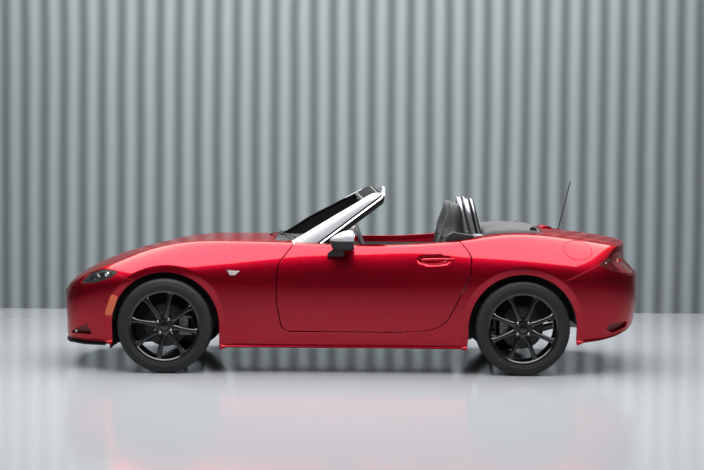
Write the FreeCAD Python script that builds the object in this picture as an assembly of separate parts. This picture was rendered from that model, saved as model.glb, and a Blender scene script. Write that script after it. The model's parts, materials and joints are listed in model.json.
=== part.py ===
"""Two-seat convertible car with its fabric roof folded away.

Frame: +X to the rear, +Y to the car's right, +Z up, millimetres.  The origin is on the ground,
under the middle of the car.  Left-hand pieces lie at negative Y and the right-hand ones mirror them.
The painted body is cut from one loft of cross-sections: every outer panel is a piece of that loft,
and a second loft, set inside the first, gives the panels their thickness.
"""

import math
import os

import FreeCAD
import Part

V = FreeCAD.Vector
PARTS = "parts"

# ---------------------------------------------------------------- driving dimensions, mm
FRONT_AXLE_X = -1200.0
REAR_AXLE_X = 1110.0
TRACK_HALF = 748.0          # wheel centre plane from the middle of the car
TYRE_R = 306.0
TYRE_W = 205.0
RIM_R = 236.0               # outside of the rim's flange
BEAD_R = 218.0              # where the tyre's bead sits
ARCH_R = 350.0              # wheel opening in the wings
LINER_WALL = 8.0            # wheel arch liner
PANEL = 30.0                # thickness of fixed panels
LID_WALL = 24.0             # thickness of bonnet and boot lid
GAP = 5.0                   # shut lines
NOSE_X = -1950.0
TAIL_X = 1950.0
BAY_Y = 480.0               # outside of the engine bay's side walls
TUB_Y = 695.0               # half width of the passenger tub
DOOR_IN_Y = 700.0           # inner face of the doors
REAR_TUB_Y = 600.0          # half width of the body between the rear wheels
FLOOR_Z = 170.0
SILL_TOP = 268.0
BELT_SWEEP = 1300.0         # well above every panel, for cutting tools

# Sections of the painted body, nose to tail.  Half widths and heights, mm.
# columns: x, underside z, underside half width, girth half width, girth z,
#          shoulder half width, shoulder z, middle z
SECTIONS = [
    (-1938, 345, 125, 150, 440, 118, 498, 514),
    (-1925, 260, 235, 265, 435, 220, 508, 532),
    (-1905, 212, 350, 390, 432, 330, 522, 554),
    (-1880, 203, 460, 525, 436, 440, 540, 576),
    (-1845, 198, 560, 630, 450, 515, 566, 603),
    (-1790, 195, 625, 705, 470, 570, 598, 637),
    (-1690, 190, 690, 758, 505, 622, 650, 688),
    (-1550, 185, 750, 800, 535, 645, 706, 743),
    (-1400, 180, 800, 830, 550, 655, 766, 786),
    (-1200, 175, 825, 848, 560, 670, 822, 828),
    (-1000, 170, 815, 843, 565, 690, 847, 852),
    (-750, 167, 795, 831, 565, 715, 850, 865),
    (-400, 165, 778, 825, 560, 745, 842, 874),
    (100, 165, 775, 825, 555, 762, 829, 874),
    (500, 165, 785, 834, 560, 768, 842, 880),
    (750, 168, 805, 850, 575, 760, 868, 905),
    (950, 180, 830, 862, 585, 742, 896, 935),
    (1110, 190, 842, 867, 590, 725, 904, 945),
    (1300, 200, 832, 862, 590, 706, 893, 936),
    (1500, 214, 795, 842, 585, 680, 868, 910),
    (1700, 238, 705, 785, 575, 625, 838, 884),
    (1800, 272, 610, 705, 570, 580, 815, 866),
    (1860, 302, 480, 585, 565, 500, 785, 846),
    (1900, 335, 340, 430, 560, 400, 745, 806),
    (1925, 365, 225, 290, 556, 280, 700, 760),
    (1942, 400, 110, 160, 550, 140, 640, 680),
]

# The tail's upper face in plan, x and half width: above the break it stands upright, and below it
# leans out to the bumper's shelf.
TAIL_BREAK_Z = 736.0
TAIL_SHELF_Z = 648.0
TAIL_UPPER = [(1864, 0), (1851, 200), (1811, 400), (1783, 500), (1745, 600), (1690, 700), (1580, 860)]
TAIL_SHELF = [(1940, 0), (1928, 200), (1901, 400), (1872, 500), (1840, 600), (1790, 700), (1690, 860)]

HINGE_X, HINGE_Y, HINGE_R = -484.5, -823.0, 4.0
KINGPIN_Y, KINGPIN_R = 690.0, 10.0
PLATE_HALF = 155.0              # half width of a number-plate carrier
BONNET_PIN = (-502.5, 871.0)    # x, z of the bonnet's hinge line
LID_PIN = (1287.5, 934.0)       # x, z of the boot lid's hinge line
MOUTH = [(-300, 470, 30), (-560, 330, 50), (-480, 262, 30), (480, 262, 30), (560, 330, 50), (300, 470, 30)]
# Lip under the nose in plan: x, half width, corner radius.
LIP_OUTER = [(-1934, 150, 100), (-1915, 310, 100), (-1872, 480, 120), (-1740, 655, 120), (-1600, 700, 0)]
LIP_INNER = [(-1850, 150, 60), (-1835, 300, 60), (-1790, 430, 100), (-1690, 590, 60), (-1590, 640, 0)]
TAILPIPE_Y = (330.0, 420.0)
FLAP_AT = (1465.0, -754.0, 809.0)
FLAP_NORMAL = (-0.731, 0.682)
FLAP_HALF = (91.0, 75.0)
FLAP_PIN = (1376.5, -766.0, 820.2)  # middle of the flap's hinge pin
JACK_POINTS = (-700.0, 640.0)   # front edge of each jacking pad
TUNNEL_Y = 105.0
WHEEL_AT = (88.0, -360.0, 785.0)
WHEEL_AXIS = (0.9397, 0.0, 0.342)
CONSOLE = [(-590, 225, 0), (-590, 520, 0), (-235, 540, 0), (-60, 520, 40), (80, 470, 60), (560, 500, 60),
           (760, 500, 0), (760, 225, 0)]
DASH = [(-250, 541, 0), (-250, 838, 0), (-150, 850, 60), (-70, 800, 50), (-95, 640, 60), (-150, 541, 20)]
DIAL_HOOD = [(-230, 780, 0), (-220, 850, 40), (-90, 884, 40), (-30, 860, 20), (-50, 780, 0)]
SEAT_SIDE = [(-30, 235, 0), (-30, 425, 50), (450, 400, 50), (628, 850, 0), (648, 1118, 35), (726, 1118, 35),
             (716, 850, 0), (600, 235, 0)]
SEAT_FRONT = [(-594, 235, 0), (-594, 850, 100), (-480, 885, 0), (-470, 1118, 60), (-250, 1118, 60),
              (-240, 885, 0), (-115, 850, 100), (-115, 235, 0)]
HOOP_Y = 360.0
HOOP_SIDE = [(812, 712, 0), (812, 860, 60), (738, 1112, 20), (770, 1140, 20), (806, 1118, 20), (858, 868, 60),
             (858, 712, 0)]
AERIAL_AT = (1500.0, 600.0, 878.0)

# Wheel profiles: radius, and y from the wheel's centre plane with the outboard side negative.
TYRE_PROFILE = [(218, -88), (232, -92), (250, -101), (268, -102.5), (290, -98), (302, -88), (306, -70), (306, 70),
                (302, 88), (290, 98), (268, 102.5), (250, 101), (232, 92), (218, 88), (218, 76), (238, 80),
                (256, 89), (280, 88), (292, 78), (294, 0), (292, -78), (280, -88), (256, -89), (238, -80),
                (218, -76)]
BARREL_PROFILE = [(210, -90), (236, -96), (236, -92.1), (218, -88), (218, 88), (236, 92.1), (236, 96), (210, 90)]
HUB_PROFILE = [(0, -92), (28, -92), (30, -88), (66, -84), (66, -58), (76, -52), (76, -24), (60, -24), (60, 32),
               (0, 32)]
DISC_PROFILE = [(60, 2), (140, 2), (140, 24), (60, 24)]

# Roof well in plan, then outlines in side view: two coordinates and a corner radius.
ROOF_WELL = [(800, -600, 30), (1268, -560, 120), (1268, 560, 120), (800, 600, 30)]
HEADLAMP = [(-1790, 555, 10), (-1720, 628, 100), (-1610, 664, 200), (-1515, 645, 8),
            (-1590, 600, 60), (-1680, 570, 60)]
TAIL_LAMP = [(1596, 722, 6), (1650, 756, 60), (1770, 790, 60), (1850, 782, 10), (1990, 680, 0),
             (1990, 600, 0), (1850, 655, 60), (1680, 680, 60)]
SILL = [(-900, 100, 0), (742, 100, 0), (776, 378, 0), (545, 378, 0), (545, 268, 0), (-900, 268, 0)]
BUMPER_LINE = [(-2100, 100, 0), (-1200, 100, 0), (-1380, 588, 0), (-1530, 640, 10), (-1548, 760, 0),
               (-2100, 760, 0)]
REAR_BUMPER = [(2100, 100, 0), (1180, 100, 0), (1375, 612, 0), (1600, 722, 10), (1745, 644, 20),
               (2100, 644, 0)]

# Mirror head sections, front to back: x, y of the middle, half width, lower z, upper z, corner radius.
MIRROR_HEAD = [
    (-128, -872, 40, 858, 898, 18),
    (-100, -876, 78, 846, 922, 34),
    (-45, -880, 92, 838, 934, 42),
    (17, -880, 94, 840, 931, 40),
]

# Door outline in side view: x, z, corner radius.
DOOR_OUTLINE = [
    (-440, 276, 60), (-482, 480, 500), (-474, 700, 130), (-325, 900, 0),
    (650, 920, 0), (776, 770, 105), (764, 640, 220), (592, 292, 200), (300, 276, 300),
]
DOOR_DRAFT = 24.0           # how much smaller the door is at its inner face


# ---------------------------------------------------------------- small helpers
def box(x0, x1, y0, y1, z0, z1):
    """A block between two corners."""
    return Part.makeBox(x1 - x0, y1 - y0, z1 - z0, V(x0, y0, z0))


def cyl(radius, start, end):
    """A round bar between two points."""
    a, b = V(*start), V(*end)
    return Part.makeCylinder(radius, (b - a).Length, a, b - a)


def fuse(shapes):
    """One solid from several that touch or overlap."""
    first, rest = shapes[0], shapes[1:]
    return first.fuse(rest).removeSplitter() if rest else first


def mirrored(shape):
    """The right-hand twin of a left-hand piece."""
    return shape.mirror(V(0, 0, 0), V(0, 1, 0))


def rounded_wire(corners, place):
    """A closed wire of lines and tangent corner arcs.  Corners are (a, b, radius); place makes a point."""
    count = len(corners)
    spans = []
    for i, (a, b, radius) in enumerate(corners):
        here = V(a, b, 0)
        back = V(*corners[i - 1][:2], 0) - here
        ahead = V(*corners[(i + 1) % count][:2], 0) - here
        if radius <= 0:
            spans.append((here, here, here))
            continue
        half = back.getAngle(ahead) / 2
        run = radius / math.tan(half)
        back.normalize()
        ahead.normalize()
        middle = (back + ahead).normalize()
        centre = here + middle * (radius / math.sin(half))
        spans.append((here + back * run, centre - middle * radius, here + ahead * run))
    edges = []
    for i, (first, mid, last) in enumerate(spans):
        if (last - first).Length > 1e-6:
            edges.append(Part.Arc(place(first), place(mid), place(last)).toShape())
        start_next = spans[(i + 1) % count][0]
        if (start_next - last).Length > 1e-6:
            edges.append(Part.makeLine(place(last), place(start_next)))
    return Part.Wire(edges)


def side_wire(corners, y):
    """A wire in side view (x, z) at one y."""
    return rounded_wire(corners, lambda p: V(p.x, y, p.y))


def top_wire(corners, z):
    """A wire in plan (x, y) at one z."""
    return rounded_wire(corners, lambda p: V(p.x, p.y, z))


def side_prism(corners, y0, y1):
    """A side-view outline run from y0 to y1."""
    return Part.Face(side_wire(corners, y0)).extrude(V(0, y1 - y0, 0))


def front_prism(corners, x0, x1):
    """A front-view outline (y, z) run from x0 to x1."""
    wire = rounded_wire(corners, lambda p: V(x0, p.x, p.y))
    return Part.Face(wire).extrude(V(x1 - x0, 0, 0))


def top_prism(corners, z0, z1):
    """A plan outline run from z0 to z1."""
    return Part.Face(top_wire(corners, z0)).extrude(V(0, 0, z1 - z0))


def largest(shape):
    """The biggest solid of a result, so that no crumb of a cut is kept."""
    return max(shape.Solids, key=lambda s: s.Volume)


def revolve_y(profile, centre):
    """A closed (radius, y) profile turned about the Y axis through centre."""
    points = [V(centre[0] + r, centre[1] + y, centre[2]) for r, y in profile]
    face = Part.Face(Part.makePolygon(points + [points[0]]))
    return face.revolve(V(*centre), V(0, 1, 0), 360)


# ---------------------------------------------------------------- the body loft
def upright_arc(y0, z0, y1, z1, x):
    """An arc that leaves (y0, z0) upright and ends at (y1, z1)."""
    depth, rise = abs(y0 - y1), z1 - z0
    radius = (depth * depth + rise * rise) / (2 * depth)
    side = math.copysign(1, y0)
    half = math.atan2(rise, radius - depth) / 2
    mid = V(x, y0 - side * radius * (1 - math.cos(half)), z0 + radius * math.sin(half))
    return Part.Arc(V(x, y0, z0), mid, V(x, y1, z1)).toShape()


def section(row, inset):
    """One closed cross-section, made smaller by inset on every side."""
    x, low_z, low_y, girth_y, girth_z, top_y, top_z, mid_z = row
    low_z, low_y, girth_y = low_z + inset, low_y - inset, girth_y - inset
    top_y, top_z, mid_z = top_y - inset, top_z - inset, mid_z - inset
    edges = [Part.makeLine(V(x, -low_y, low_z), V(x, low_y, low_z))]
    for side in (1, -1):
        edges.append(upright_arc(side * girth_y, girth_z, side * low_y, low_z, x))
        edges.append(upright_arc(side * girth_y, girth_z, side * top_y, top_z, x))
    edges.append(Part.Arc(V(x, top_y, top_z), V(x, 0, mid_z), V(x, -top_y, top_z)).toShape())
    return Part.Wire(Part.__sortEdges__(edges))


def tail_cutter():
    """Everything behind the tail's upper face."""
    wires = []
    for outline, z in ((TAIL_SHELF, TAIL_SHELF_Z), (TAIL_UPPER, TAIL_BREAK_Z), (TAIL_UPPER, BELT_SWEEP)):
        right = [V(x, y, z) for x, y in outline]
        left = [V(x, -y, z) for x, y in reversed(outline[1:])]
        far = [V(2100, 860, z), V(2100, -860, z)]
        wires.append(Part.makePolygon(left + right + far + [left[0]]))
    return Part.makeLoft(wires, True, True)


def body_loft(inset):
    """The whole painted shape as one solid, inset square to its outline in plan."""
    wires = []
    for i, row in enumerate(SECTIONS):
        before, after = SECTIONS[max(i - 1, 0)], SECTIONS[min(i + 1, len(SECTIONS) - 1)]
        along, across = after[0] - before[0], after[3] - before[3]
        length = math.hypot(along, across)
        share = along / length if 0 < i < len(SECTIONS) - 1 else 0.3
        lean = across / length if 0 < i < len(SECTIONS) - 1 else math.copysign(1, across)
        wires.append(section((row[0] + inset * lean,) + row[1:], inset * share))
    solid = Part.makeLoft(wires, True, False)
    return solid.cut(tail_cutter().translated(V(-inset, 0, 0)))


SKIN = body_loft(0)
INNER = body_loft(PANEL)
LID_INNER = body_loft(LID_WALL)
LEDGE_INNER = body_loft(PANEL + 15)
FLAP_INNER = body_loft(10)


def shell(region):
    """The part of the painted skin inside a cutting region, as thick as a fixed panel."""
    return SKIN.common(region).cut(INNER)


def half_space(y0, y1):
    """A tall slab over the whole length of the car between two y."""
    return box(-2100, 2100, y0, y1, 0, BELT_SWEEP)


def arch_cut(axle_x, radius, y0):
    """The left-hand wheel's space, from y0 outwards: round above the axle and straight below it."""
    return cyl(radius, (axle_x, -1000, TYRE_R), (axle_x, y0, TYRE_R)).fuse(
        box(axle_x - radius, axle_x + radius, -1000, y0, 0, TYRE_R))


def door_tool(grow):
    """The tapering block that cuts the left door, or its opening when it is grown."""
    outer = side_wire(DOOR_OUTLINE, -900)
    inner = side_wire(DOOR_OUTLINE, -DOOR_IN_Y)
    if grow:
        outer = outer.makeOffset2D(grow, 2)
    inner = inner.makeOffset2D(grow - DOOR_DRAFT, 2)
    return Part.makeLoft([outer, inner], True, True)


def bonnet_outline(grow, z):
    """The bonnet's plan outline; its nose leans back so that the edge clears as it lifts."""
    nose = -1850 - 0.3 * (z - 575) - grow
    return [
        (-505 + grow, -(600 + grow), 20), (-505 + grow, 600 + grow, 20),
        (-1200, 570 + grow, 1500), (-1640, 480 + grow, 300), (nose, 330, 220),
        (nose, -330, 220), (-1640, -(480 + grow), 300), (-1200, -(570 + grow), 1500),
    ]


def bonnet_tool(grow):
    """The plug that cuts the bonnet out of the skin."""
    wires = [top_wire(bonnet_outline(grow, z), z) for z in (420, 1000)]
    return Part.makeLoft(wires, True, True)


LID_FRONT_X = 1290.0
LID_FOOT_Z = 655.0


def lid_tool(grow):
    """The block that cuts the boot lid, which turns down at the tail between the lamps."""
    corners = [
        (LID_FRONT_X - grow, -(560 + grow), 60), (1760, -(500 + grow), 400), (2000, -(455 + grow), 0),
        (2000, 455 + grow, 0), (1760, 500 + grow, 400), (LID_FRONT_X - grow, 560 + grow, 60),
    ]
    return top_prism(corners, LID_FOOT_Z - grow, BELT_SWEEP)


def build_doors(nodes):
    """Doors as thick as the whole wall, with a pull handle in a scooped cup and a slot for the glass."""
    blank = SKIN.common(door_tool(0)).common(half_space(-900, -DOOR_IN_Y))
    cup = Part.makeSphere(62, V(540, -868, 742))
    slot = box(-330, 640, -742, -728, 560, 1000)
    pin_hole = cyl(HINGE_R + 0.3, (HINGE_X, HINGE_Y, 490), (HINGE_X, HINGE_Y, 610))
    door = largest(blank.cut(cup).cut(slot).cut(pin_hole))
    grip = Part.makeCylinder(9, 190, V(450, -838, 742), V(1, 0, 0))
    nodes["door_left"] = largest(fuse([door, grip]))


def build_mirror(nodes):
    """The left door mirror: a rounded shell on a short foot that stands on the door's shoulder."""
    wires = []
    for x, y, half, low, high, radius in MIRROR_HEAD:
        corners = [(y - half, low, radius), (y + half, low, radius), (y + half, high, radius),
                   (y - half, high, radius)]
        wires.append(rounded_wire(corners, lambda p, at=x: V(at, p.x, p.y)))
    head = Part.makeLoft(wires, True, False)
    foot_low = top_wire([(-150, -830, 8), (-150, -745, 8), (-45, -745, 8), (-45, -830, 8)], 765)
    foot_high = top_wire([(-100, -900, 8), (-100, -835, 8), (-40, -835, 8), (-40, -900, 8)], 860)
    foot = Part.makeLoft([foot_low, foot_high], True, True)
    nodes["mirror_left"] = largest(head.fuse(foot).cut(SKIN))


def build_front(nodes):
    """Bonnet, left wing, front bumper, grille, lip and left headlamp."""
    bonnet_hole = bonnet_tool(GAP)
    bumper_block = side_prism(BUMPER_LINE, -900, 900)
    lamp_block = side_prism(HEADLAMP, -900, -420)
    arch = arch_cut(FRONT_AXLE_X, ARCH_R, -400)
    bonnet = SKIN.common(bonnet_tool(0)).cut(LID_INNER)
    for y in (-240, 200):
        bonnet = bonnet.cut(cyl(HINGE_R + 0.3, (BONNET_PIN[0], y, BONNET_PIN[1]), (BONNET_PIN[0], y + 40, BONNET_PIN[1])))
    nodes["bonnet"] = largest(bonnet)
    wing = shell(box(-1560, -382, -900, -300, SILL_TOP, 1000)).cut(bumper_block).cut(bonnet_hole)
    wing = wing.cut(door_tool(GAP)).cut(arch).cut(lamp_block).cut(box(-505, -380, -605, 0, 700, 1000))
    pin = cyl(HINGE_R, (HINGE_X, HINGE_Y, 500), (HINGE_X, HINGE_Y, 600))
    nodes["wing_left"] = largest(wing.fuse(pin))

    mouth = front_prism(MOUTH, -2100, -1790)
    bumper = shell(bumper_block).common(box(-2100, -1376, -900, 900, 0, 1000))
    bumper = bumper.cut(box(-1700, -1300, -700, 700, 0, 320)).cut(mouth).cut(bonnet_hole)
    bumper = bumper.cut(lamp_block).cut(mirrored(lamp_block)).cut(arch).cut(mirrored(arch))
    nodes["front_bumper"] = largest(bumper)
    grille = front_prism(MOUTH, -1900, -1885).common(INNER)
    carrier = plate_carrier(NOSE_X, -1938, 362, 498).fuse(box(-1938, -1885, -25, 25, 380, 465))
    bars = [box(-1912, -1900, -460, 460, z, z + 8) for z in (300, 340, 380, 420)]
    nodes["grille"] = largest(fuse([grille, carrier] + bars).cut(nodes["front_bumper"]))
    lip_wires = [top_wire(lip_outline(LIP_OUTER, -shrink), z) for shrink, z in ((0, 164), (2, 176), (22, 210))]
    lip = Part.makeLoft(lip_wires, True, True).cut(top_prism(lip_outline(LIP_INNER, 0), 100, 300))
    nodes["front_lip"] = largest(lip.cut(SKIN))
    nodes["headlamp_left"] = largest(SKIN.common(lamp_block).cut(INNER).cut(bonnet_hole))


def lip_outline(half, grow):
    """Both halves of the lip's outline in plan."""
    left = [(x - grow, -(y + grow), r) for x, y, r in half]
    right = [(x, -y, r) for x, y, r in reversed(left)]
    return left[::-1] + right[::-1]


def plate_carrier(face_x, back_x, low, high):
    """A blank number-plate carrier with two screw holes in its face."""
    block = box(min(face_x, back_x), max(face_x, back_x), -PLATE_HALF, PLATE_HALF, low, high)
    lean = math.copysign(1, face_x)
    hole_z = (low + high) / 2
    for y in (-88.9, 88.9):
        block = block.cut(cyl(3, (face_x + 5 * lean, y, hole_z), (face_x - 10 * lean, y, hole_z)))
    return block


def build_rear(nodes):
    """Left rear wing and sill, boot lid, rear bumper, left tail lamp and fuel flap."""
    rear_block = side_prism(REAR_BUMPER, -900, 900)
    lamp_block = side_prism(TAIL_LAMP, -900, -460 - GAP)
    lid_hole = lid_tool(GAP)
    arch = arch_cut(REAR_AXLE_X, ARCH_R, -500)
    lid = SKIN.common(lid_tool(0)).cut(LID_INNER)
    wing = shell(box(600, 1870, -900, 0, 378, 1000)).cut(rear_block).cut(lamp_block)
    wing = wing.cut(door_tool(GAP)).cut(lid_hole).cut(top_prism(ROOF_WELL, 700, BELT_SWEEP))
    wing = wing.cut(box(500, 801, -DOOR_IN_Y, 0, 0, BELT_SWEEP)).cut(arch)
    pins = []
    for y in (-240, 200):
        start, end = (LID_PIN[0], y, LID_PIN[1]), (LID_PIN[0], y + 40, LID_PIN[1])
        lid = lid.cut(cyl(HINGE_R + 0.3, start, end))
        pins.append(cyl(HINGE_R, start, end))
    nodes["boot_lid"] = largest(lid)
    slope = V(0, -FLAP_NORMAL[1], FLAP_NORMAL[0])
    flap_pin = Part.makeCylinder(2.5, 40, V(*FLAP_PIN) - slope * 20, slope)
    nodes["fuel_flap"] = largest(SKIN.common(flap_tool(0, 60)).cut(FLAP_INNER).fuse(flap_pin))
    nodes["rear_wing_right"] = mirrored(largest(wing.fuse(pins[0])))
    nodes["rear_wing_left"] = largest(wing.fuse(pins[0]).cut(flap_tool(GAP + 1, 60)))
    sill = shell(side_prism(SILL, -900, -560)).cut(door_tool(GAP))
    sill = sill.cut(arch_cut(FRONT_AXLE_X, ARCH_R, -400)).cut(arch)
    for x in JACK_POINTS:
        sill = sill.fuse(box(x, x + 70, -745, -695, 155, 185))
    nodes["sill_left"] = largest(sill)
    bumper = shell(rear_block).common(box(1300, 2100, -900, 900, 0, 1000)).cut(lid_hole)
    bumper = bumper.cut(arch).cut(mirrored(arch)).cut(lamp_block).cut(mirrored(lamp_block))
    bumper = bumper.cut(box(1200, 1780, -520, 520, 0, 320))
    for y in TAILPIPE_Y:
        bumper = bumper.cut(cyl(42, (1700, y, 268), (1950, y, 268)))
    nodes["rear_bumper"] = largest(bumper.fuse(plate_carrier(TAIL_X, 1922, 432, 568)))
    nodes["tail_lamp_left"] = largest(SKIN.common(lamp_block).cut(INNER).cut(lid_hole))


def flap_tool(grow, depth):
    """An oval plug along the skin's slope at the fuel flap."""
    normal = V(0, FLAP_NORMAL[0], FLAP_NORMAL[1])
    start = V(*FLAP_AT) - normal * depth
    oval = Part.Ellipse(V(0, 0, 0), FLAP_HALF[0] + grow, FLAP_HALF[1] + grow)
    face = Part.Face(Part.Wire(oval.toShape()))
    turn = FreeCAD.Rotation(V(1, 0, 0), V(0, -normal.z, normal.y) * -1, normal, "ZXY")
    face.Placement = FreeCAD.Placement(start, turn)
    return face.extrude(normal * (depth + 40))


def build_structure(nodes):
    """The inner shell: floor, front and rear structure, with the wheel arch liners."""
    floor = INNER.common(box(-850, 800, -810, 810, 190, 225))
    rocker = INNER.common(box(-850, 760, -810, -600, 190, SILL_TOP))
    floor = fuse([floor, rocker, mirrored(rocker)])
    for axle_x, wall_y in ((FRONT_AXLE_X, -BAY_Y), (REAR_AXLE_X, -500)):
        wheel_space = arch_cut(axle_x, ARCH_R + LINER_WALL, wall_y)
        floor = floor.cut(wheel_space).cut(mirrored(wheel_space))
    floor = floor.cut(box(-900, -620, -330, 330, 150, 240))
    nodes["floor"] = largest(floor.cut(nodes["sill_left"]).cut(mirrored(nodes["sill_left"])))

    shelf = INNER.cut(LEDGE_INNER)
    left = [
        INNER.common(box(-1885, -590, -BAY_Y, -450, 330, 1000)),
        shelf.common(box(-1800, -590, -660, -450, 500, 1000)),
        INNER.common(box(-620, -250, -695, -640, 225, 1000)),
        liner(FRONT_AXLE_X, -BAY_Y),
    ]
    middle = [
        INNER.common(box(-1800, -1765, -480, 480, 232, 1000)),
        INNER.common(box(-620, -590, -810, 810, 225, 1000)),
        SKIN.common(box(-500, -250, -600, 600, 760, 1000)).cut(INNER),
        INNER.common(box(-620, -250, -690, 690, 790, 1000)).cut(LEDGE_INNER),
    ]
    front = fuse(left + [mirrored(s) for s in left] + middle)
    wheel_space = arch_cut(FRONT_AXLE_X, ARCH_R, -BAY_Y)
    notch = box(-1265, -1135, -500, -400, 200, 470)
    front = front.cut(wheel_space).cut(mirrored(wheel_space)).cut(notch).cut(mirrored(notch))
    for y in (-240, 200):
        front = front.fuse(cyl(HINGE_R, (BONNET_PIN[0], y, BONNET_PIN[1]), (BONNET_PIN[0], y + 40, BONNET_PIN[1])))
    nodes["front_structure"] = largest(front.cut(nodes["floor"]))

    left = [
        INNER.common(box(800, 1275, -500, -480, 330, 705)),
        INNER.common(box(1262, 1850, -500, -480, 330, 1000)),
        INNER.common(box(800, 1268, -612, -600, 700, 1000)),
        shelf.common(box(1262, 1850, -640, -480, 655, 1000)),
        liner(REAR_AXLE_X, -500),
    ]
    middle = [
        INNER.common(box(800, 1850, -490, 490, 400, 415)),
        INNER.common(box(1835, 1850, -490, 490, 400, 1000)),
        INNER.common(box(1262, 1275, -610, 610, 400, 1000)),
        INNER.common(box(800, 1275, -612, 612, 700, 712)),
        INNER.common(box(800, 812, -700, 700, 225, 700)),
    ]
    rear = fuse(left + [mirrored(s) for s in left] + middle)
    wheel_space = arch_cut(REAR_AXLE_X, ARCH_R, -500)
    shaft_hole = cyl(45, (REAR_AXLE_X, -700, TYRE_R), (REAR_AXLE_X, 700, TYRE_R))
    rear = rear.cut(wheel_space).cut(mirrored(wheel_space)).cut(shaft_hole)
    nodes["rear_structure"] = largest(rear)


def liner(axle_x, wall_y):
    """One left wheel arch liner, out to the inside of the painted skin."""
    ring = arch_cut(axle_x, ARCH_R + LINER_WALL, wall_y).cut(arch_cut(axle_x, ARCH_R, wall_y))
    return INNER.common(ring).common(box(-2100, 2100, -900, -400, 330, 1000))


def build_cabin(nodes):
    """Passenger tub, dashboard, steering wheel and the left seat."""
    console = side_prism(CONSOLE, -TUNNEL_Y, TUNNEL_Y)
    back_wall = INNER.common(box(760, 800, -TUB_Y, TUB_Y, 225, 1000))
    carpet = box(-590, 760, -600, 600, 225, 235)
    wheel_space = arch_cut(REAR_AXLE_X, ARCH_R + LINER_WALL, -500)
    tub = fuse([console, back_wall, carpet]).cut(wheel_space).cut(mirrored(wheel_space))
    nodes["cabin_tub"] = largest(tub.cut(nodes["rear_structure"]))

    dash = side_prism(DASH, -640, 640)
    hood = side_prism(DIAL_HOOD, WHEEL_AT[1] - 120, WHEEL_AT[1] + 120)
    axis = V(*WHEEL_AXIS)
    hub = V(*WHEEL_AT)
    column = Part.makeCylinder(30, 190, hub - axis * 40, axis * -1)
    nodes["dashboard"] = largest(fuse([dash, hood, column]).cut(nodes["cabin_tub"]))

    rim = Part.makeTorus(172, 14, hub, axis)
    boss = Part.makeCylinder(44, 45, hub - axis * 40, axis)
    up = V(-axis.z, 0, axis.x)
    spokes = [Part.makeCylinder(9, 168, hub - axis * 6, direction)
              for direction in (V(0, 1, 0), V(0, -1, 0), up * -1)]
    nodes["steering_wheel"] = largest(fuse([rim, boss] + spokes))

    profile = side_prism(SEAT_SIDE, -605, -115)
    front = front_prism(SEAT_FRONT, -200, 800)
    nodes["seat_left"] = largest(profile.common(front))


def build_top(nodes):
    """Windscreen and frame, roll hoops, rear shelf, folded roof, aerial."""
    band = screen_band(0, None)
    outer = front_prism([(-708, 790, 0), (-578, 1172, 70), (0, 1216, 4000), (578, 1172, 70), (708, 790, 0)], -900, 600)
    inner = front_prism([(-664, 790, 0), (-536, 1132, 50), (0, 1172, 4000), (536, 1132, 50), (664, 790, 0)], -900, 600)
    foot = SKIN.common(box(-900, -375, -900, 900, 700, 1000))
    frame = band.common(outer).cut(inner)
    frame = frame.cut(INNER).cut(foot).cut(nodes["front_structure"])
    frame = frame.common(half_space(-TUB_Y, TUB_Y))
    nodes["windscreen_frame"] = largest(frame)
    glass = screen_band(14, 6).common(inner).cut(SKIN)
    nodes["windscreen_glass"] = largest(glass)

    hoop_band = side_prism(HOOP_SIDE, -HOOP_Y - 150, -HOOP_Y + 150)
    arch_out = front_prism(hoop_outline(0), 700, 900)
    arch_in = front_prism(hoop_outline(42), 700, 900)
    hoop = hoop_band.common(arch_out).cut(arch_in)
    bar = box(812, 858, -560, 560, 712, 752)
    hoops = fuse([hoop, mirrored(hoop), bar])
    nodes["roll_hoops"] = largest(hoops)
    shelf = front_prism([(-598, 752, 0), (-598, 868, 30), (0, 905, 3000), (598, 868, 30), (598, 752, 0)], 802, 880)
    for name in ("roll_hoops", "rear_structure", "rear_wing_left", "rear_wing_right"):
        shelf = shelf.cut(nodes[name])
    nodes["rear_shelf"] = largest(shelf)
    roof = front_prism([(-592, 712, 0), (-580, 905, 60), (0, 985, 1500), (580, 905, 60), (592, 712, 0)], 884, 1258)
    cover = side_prism([(884, 700, 0), (884, 935, 60), (1080, 968, 500), (1258, 930, 60), (1258, 700, 0)], -700, 700)
    plan = top_prism([(884, -588, 20), (1258, -546, 110), (1258, 546, 110), (884, 588, 20)], 700, 1000)
    nodes["folded_roof"] = largest(roof.common(cover).common(plan))
    base = V(*AERIAL_AT)
    rod = cyl(4, AERIAL_AT, (AERIAL_AT[0] + 89, AERIAL_AT[1], AERIAL_AT[2] + 367))
    nodes["aerial"] = largest(rod.fuse(Part.makeCone(16, 8, 40, base - V(0, 0, 12))).cut(SKIN))


def hoop_outline(inset):
    """The left roll hoop seen from the front."""
    y0, y1, top = -HOOP_Y - 140 + inset, -HOOP_Y + 140 - inset, 1135 - inset
    radius = 120 - inset
    return [(y0, 600, 0), (y0, top, radius), (y1, top, radius), (y1, 600, 0)]


def screen_band(offset, thickness):
    """The curved, raked layer that the windscreen lies in, from a low to a high level."""
    wires = []
    for z in (790, 1232):
        edge_x = -383 + (z - 844) * 536 / 322
        mid_x = -470 + (z - 886) * 601 / 312
        half = 694 - (z - 831) * 0.34
        deep = thickness or 190 - (z - 831) * 0.209
        grown = 800 / half
        sag = (edge_x - mid_x) * grown * grown
        front = [V(mid_x + offset + sag, -800, z), V(mid_x + offset, 0, z), V(mid_x + offset + sag, 800, z)]
        back = [p + V(deep, 0, 0) for p in front]
        wires.append(Part.Wire([
            Part.Arc(*front).toShape(),
            Part.makeLine(front[2], back[2]),
            Part.Arc(*back).toShape(),
            Part.makeLine(back[0], front[0]),
        ]))
    return Part.makeLoft(wires, True, True)


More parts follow.
